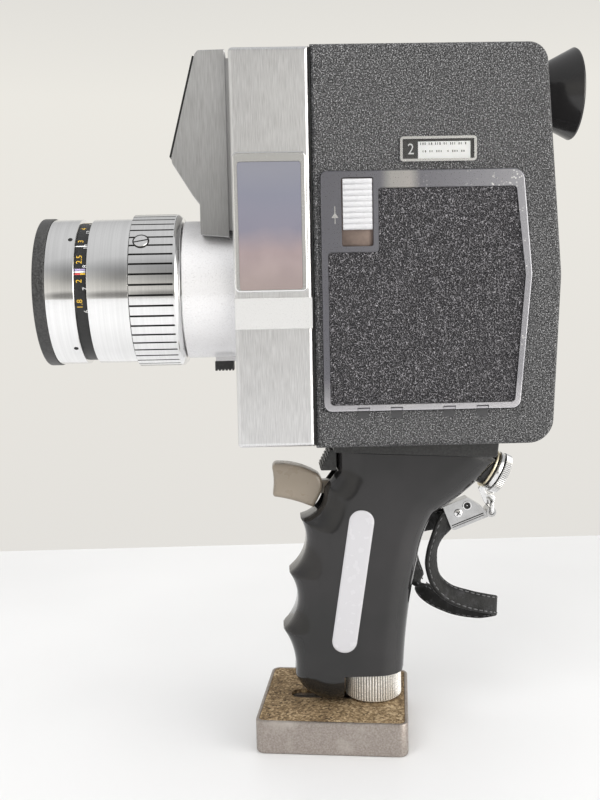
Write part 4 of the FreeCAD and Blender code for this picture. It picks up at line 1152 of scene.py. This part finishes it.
def pipe(name, route, radius, sides, finish, body):
    """A closed round wire along route."""
    points = []
    for i, here in enumerate(route):
        run = (route[(i + 1) % len(route)] - route[i - 1]).normalized()
        side = run.cross(X_AXIS).normalized()
        other = run.cross(side)
        for k in range(sides):
            angle = math.tau * k / sides
            points.append(tuple(here + (side * math.cos(angle) + other * math.sin(angle)) * radius))
    return add_piece(name, points, ring_faces(len(route), sides, closed=True), finish, body)


CLIP_TURN = math.radians(21)
CLIP_PIVOT = LUG - Vector((0, 0, BAIL_DROP))
CLIP_FACE = -2.6


def on_clip(x, y, z):
    """A place on the strap clip, whose own x runs to its hook and z across it."""
    c, s = math.cos(CLIP_TURN), math.sin(CLIP_TURN)
    return tuple(CLIP_PIVOT + Vector((x * c - z * s, y, x * s + z * c)))


def clip_details():
    """The clip's rivets with painted shade in their cuts, its sight hole, and the folds along its lower edge
    drawn as lines of painted shade.
    """
    for side, word in ((-1, "near"), (1, "far")):
        face = side * abs(CLIP_FACE)
        outwards = (0, side, 0)
        lathe(f"clip_rivet_{word}", rounded([(0.0, 0.2, 0), (0.0, 1.75, 0), (0.55, 1.6, 0.3), (0.7, 0.2, 0)]),
              on_clip(-12.3, face, 4.5), outwards, "chrome", "strap", 32, closed=False)
        # Dark bars on each rivet head: painted shade in its cuts.
        for turn in (0.6, 2.17):
            bar = []
            for u, v in ((-1.1, -0.17), (1.1, -0.17), (1.1, 0.17), (-1.1, 0.17)):
                du = u * math.cos(turn) - v * math.sin(turn)
                dv = u * math.sin(turn) + v * math.cos(turn)
                bar.append(on_clip(-12.3 + du, face + side * 0.74, 4.5 + dv))
            add_piece(f"clip_rivet_cut_shade_{word}_{int(turn)}", bar, [(0, 1, 2, 3)], "inner_black", "strap")
        hole = [(0.0, 0.2), (0.02, 1.5), (0.3, 1.75), (0.32, 1.35), (0.05, 1.3), (0.04, 0.2)]
        lathe(f"clip_hole_{word}", hole, on_clip(-7.9, face, 6.0), outwards, ["chrome", "inner_black"],
              "strap", 32, groove=lambda _, angle, radius: int(radius < 1.45), closed=False)
        # Dark lines along the folds: painted shade at each crease.
        for number, height, width in ((1, 0.72, 0.2), (2, -0.05, 0.12)):
            line = [on_clip(x, face + side * 0.08, height + dz)
                    for x, dz in ((-16.4, -width), (-3.0, -width), (-3.0, width), (-16.4, width))]
            add_piece(f"clip_fold_shade_{word}_{number}", line, [(0, 1, 2, 3)], "inner_black", "strap")


# ---------------------------------------------------------------- wrist strap

STITCH_LINE = 3.0
STITCH_PITCH = 2.5

# Along the strap: its centre, then the direction of its width.
STRAP_STATIONS = [
    (58.0, -0.95, -102.6, -1.4, 0.0, 3.7),
    (53.4, -0.95, -104.4, -1.4, 0.0, 3.7),
    (50.6, -1.6, -107.8, -2.4, -1.6, 2.2),
    (48.2, -1.6, -112.0, -2.4, -2.8, 0.8),
    (46.4, -0.6, -117.6, -2.2, -3.1, 0.2),
    (46.2, 0.0, -124.0, -2.4, -3.0, 0.4),
    (48.2, 0.0, -130.6, -1.6, -3.0, -1.8),
    (53.6, 0.3, -135.8, -0.6, -2.4, -3.0),
    (61.4, 1.2, -139.0, -0.1, -1.2, -3.8),
    (68.8, 2.8, -141.2, -0.1, -0.4, -4.0),
    (73.2, 6.6, -143.2, -0.2, -0.2, -4.0),
    (72.2, 11.2, -145.6, -0.2, 0.4, -4.0),
    (66.4, 14.8, -147.4, -0.2, 0.6, -3.9),
    (56.4, 17.2, -145.8, 0.4, 0.6, -3.9),
    (46.6, 18.8, -140.2, 1.4, 0.4, -3.7),
    (41.0, 19.0, -129.5, 3.0, 0.4, -2.6),
    (39.6, 18.8, -120.6, 3.7, 0.8, -0.8),
    (42.0, 18.9, -113.2, 3.3, 0.8, -2.0),
    (48.8, 12.8, -109.0, 2.2, 0.4, -3.2),
    (50.2, 4.6, -106.0, 1.6, 0.0, -3.6),
    (52.8, 0.95, -104.6, 1.4, 0.0, -3.7),
    (58.0, 0.95, -102.6, 1.4, 0.0, -3.7),
]
STRAP_SECTION = [
    (-3.9, 0.35), (-3.65, 0.75), (-3.25, 0.85), (-3.0, 0.68), (-2.75, 0.85), (-1.4, 0.92), (0, 0.94),
    (1.4, 0.92), (2.75, 0.85), (3.0, 0.68), (3.25, 0.85), (3.65, 0.75), (3.9, 0.35),
]


def strap_route(per_span=10):
    """Centres, widths and thickness directions along the strap, smoothed through the stations."""
    stations = np.array(STRAP_STATIONS, float)
    padded = np.vstack([2 * stations[0] - stations[1], stations, 2 * stations[-1] - stations[-2]])
    rows = []
    for i in range(len(stations) - 1):
        a, b, c, d = padded[i:i + 4]
        for k in range(per_span):
            t = k / per_span
            rows.append(0.5 * (2 * b + (c - a) * t + (2 * a - 5 * b + 4 * c - d) * t * t
                               + (3 * b - a - 3 * c + d) * t ** 3))
    rows.append(stations[-1])
    rows = np.array(rows)
    frames = []
    for i, row in enumerate(rows):
        centre = Vector(row[:3])
        run = Vector(rows[min(i + 1, len(rows) - 1), :3] - rows[max(i - 1, 0), :3]).normalized()
        width = Vector(row[3:])
        width = (width - run * width.dot(run)).normalized()
        frames.append((centre, run, width, run.cross(width).normalized()))
    return frames


def wrist_strap():
    frames = strap_route()
    section = STRAP_SECTION + [(-u, -v) for u, v in STRAP_SECTION]
    points = [tuple(c + w * u + n * v) for c, _, w, n in frames for u, v in section]
    strap = add_piece("strap_leather", points, ring_faces(len(frames), len(section)), "strap_leather",
                      "strap", smooth_angle=math.radians(60))
    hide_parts("wrist_strap")
    strap_stitches(frames)


def strap_stitches(frames):
    """Four rows of short threads, two on each face of the strap."""
    sides = 6
    rings = ((-0.85, 0.1), (-0.5, 0.24), (0.5, 0.24), (0.85, 0.1))
    points = []
    faces = []
    travelled = 0.0
    due = STITCH_PITCH
    for before, here in zip(frames, frames[1:]):
        travelled += (here[0] - before[0]).length
        if travelled < due:
            continue
        due += STITCH_PITCH
        centre, run, width, normal = here
        for across in (-STITCH_LINE, STITCH_LINE):
            for face in (-1, 1):
                middle = centre + width * across + normal * (face * 0.78)
                faces += ring_faces(len(rings), sides, len(points))
                for along, size in rings:
                    for k in range(sides):
                        angle = math.tau * k / sides
                        offset = (width * math.cos(angle) + normal * math.sin(angle)) * size
                        points.append(tuple(middle + run * along + offset))
    add_piece("strap_stitches", points, faces, "strap_thread", "strap")


# ---------------------------------------------------------------- table stand

STAND_X = 7.0
STAND_TURN = math.radians(-7.5)
STAND_FOOT = -189.0


def stand_outline(half_x, half_y, radius, steps=8):
    flat = rounded([(-half_x, -half_y, radius), (-half_x, half_y, radius), (half_x, half_y, radius),
                    (half_x, -half_y, radius)], steps)
    c, s = math.cos(STAND_TURN), math.sin(STAND_TURN)
    return [(STAND_X + u * c - v * s, u * s + v * c) for u, v in flat]


def stand_block():
    levels = [(0.0, 0.9), (0.2, 0.4), (0.6, 0.1), (1.2, 0.0), (12.4, 0.0), (12.75, 0.1), (12.95, 0.3),
              (13.0, 0.6), (12.95, 1.1), (12.7, 1.3), (11.3, 1.3)]
    points = []
    for height, inset in levels:
        outline = stand_outline(29.0 - inset, 27.0 - inset, 3.6 - inset * 0.9)
        points += [(x, y, STAND_FOOT + height) for x, y in outline]
    body = add_piece("stand_casting", points, ring_faces(len(levels), len(outline)), "stand_metal",
                     "stand")
    carve(body, cutter_box((-17, -11, -191), (31, 11, -183.5)),
          cutter_box((-10.5, -3.9, -191), (24.5, 3.9, -175)))
    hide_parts("stand_block")


def add_details():
    lens_front_rim()
    focus_ring()
    distance_scale()
    lens_sleeve()
    zoom_ring()
    eyecup()
    footage_window()
    latch_details()
    casing_details()
    grip()
    trigger()
    trigger_spring()
    grip_knob()
    strap_post()
    wire_loop()
    clip_details()
    wrist_strap()
    stand_block()


add_details()

# ---------------------------------------------------------------- stage

# The room's dim wall, its dark line and its window: where each is, how much sideways distance counts,
# where its fade starts and ends, and how bright its middle is.
ROOM_PATCHES = (
    ((0.0, -1.0, 0.42), 1.0, 0.12, 0.6, 0.42),
    ((0.0, -0.99, -0.1), 0.15, 0.05, 0.14, 0.35),
    ((0.82, -0.57, 0.1), 1.0, 0.3, 0.68, 6.0),
)
WORLD_STRENGTH = 1.07


def make_stage():
    half_x, near, far = 1.1, -0.9, 0.29
    mesh = bpy.data.meshes.new("floor")
    corners = [(-half_x, near, 0), (half_x, near, 0), (half_x, far, 0), (-half_x, far, 0)]
    mesh.from_pydata(corners, [], [(0, 1, 2, 3)])
    floor = linked("floor", mesh)
    f = Finish("floor_white", grey(0.8), roughness=0.35)
    f.paint(f.ramp(f.noise(6, 2.0), (0.3, (0.78, 0.78, 0.785)), (0.7, (0.83, 0.83, 0.835))))
    dress(floor, "floor_white")


def make_world():
    """A bright room: pale walls and ceiling, dimmer opposite the film door with a dark line low down,
    and a window to the side."""
    world = bpy.data.worlds.new("studio")
    bpy.context.scene.world = world
    world.use_nodes = True
    room = Nodes(world.node_tree, "Generated")
    light = room.ramp(room.span(room.axis("Z"), -1.0, 1.0),
                      (0.0, grey(0.62)), (0.44, (0.74, 0.72, 0.68)), (0.6, (0.78, 0.76, 0.71)),
                      (0.78, grey(0.5)), (1.0, grey(0.62)))
    for middle, spread, inner, outer, level in ROOM_PATCHES:
        narrowed = room.vector("MULTIPLY", room.place, (spread, 1, 1))
        away = room.vector("DISTANCE", narrowed, middle, output="Value")
        light = room.vector("SCALE", light, room.span(away, inner, outer, level, 1.0), socket="Scale")
    background = room.tree.nodes["Background"]
    room.put(light, background.inputs["Color"])
    background.inputs["Strength"].default_value = WORLD_STRENGTH


def area_light(name, position, target, size, power):
    light = bpy.data.lights.new(name, "AREA")
    light.shape = "RECTANGLE"
    light.size, light.size_y = size
    light.energy = power
    obj = linked(name, light)
    obj.location = position
    obj.rotation_euler = (Vector(target) - Vector(position)).to_track_quat("-Z", "Y").to_euler()
    obj.visible_glossy = False


def make_lights():
    middle = (0, 0, 0.15)
    area_light("key", (-0.45, -0.75, 0.95), middle, (0.9, 0.6), 7)
    area_light("top", (0.15, 0.1, 1.1), middle, (1.0, 0.8), 4)
    area_light("side", (0.95, -0.35, 0.5), middle, (0.5, 0.9), 2)


EYE = Vector((-0.02167, -0.36932, 0.17154))
YAW, PITCH, ROLL = (math.radians(a) for a in (1.5, 6.0, 1.15))
FOCAL_SHARE = 1.1875
SENSOR_HEIGHT = 24.0


def make_camera():
    turn = Matrix.Rotation(-YAW, 3, Z_AXIS)
    right, forward, up = turn @ X_AXIS, turn @ Y_AXIS, Z_AXIS.copy()
    tip = Matrix.Rotation(-PITCH, 3, right)
    forward, up = tip @ forward, tip @ up
    lean = Matrix.Rotation(ROLL, 3, forward)
    right, up = lean @ right, lean @ up
    data = bpy.data.cameras.new("camera")
    data.sensor_fit = "VERTICAL"
    data.sensor_height = SENSOR_HEIGHT
    data.lens = SENSOR_HEIGHT * FOCAL_SHARE
    data.clip_start = 0.01
    camera = linked("camera", data)
    camera.matrix_world = Matrix((
        (right.x, up.x, -forward.x, EYE.x),
        (right.y, up.y, -forward.y, EYE.y),
        (right.z, up.z, -forward.z, EYE.z),
        (0, 0, 0, 1),
    ))
    bpy.context.scene.camera = camera


make_stage()
make_world()
make_lights()
make_camera()
bpy.context.scene.view_settings.view_transform = "Standard"
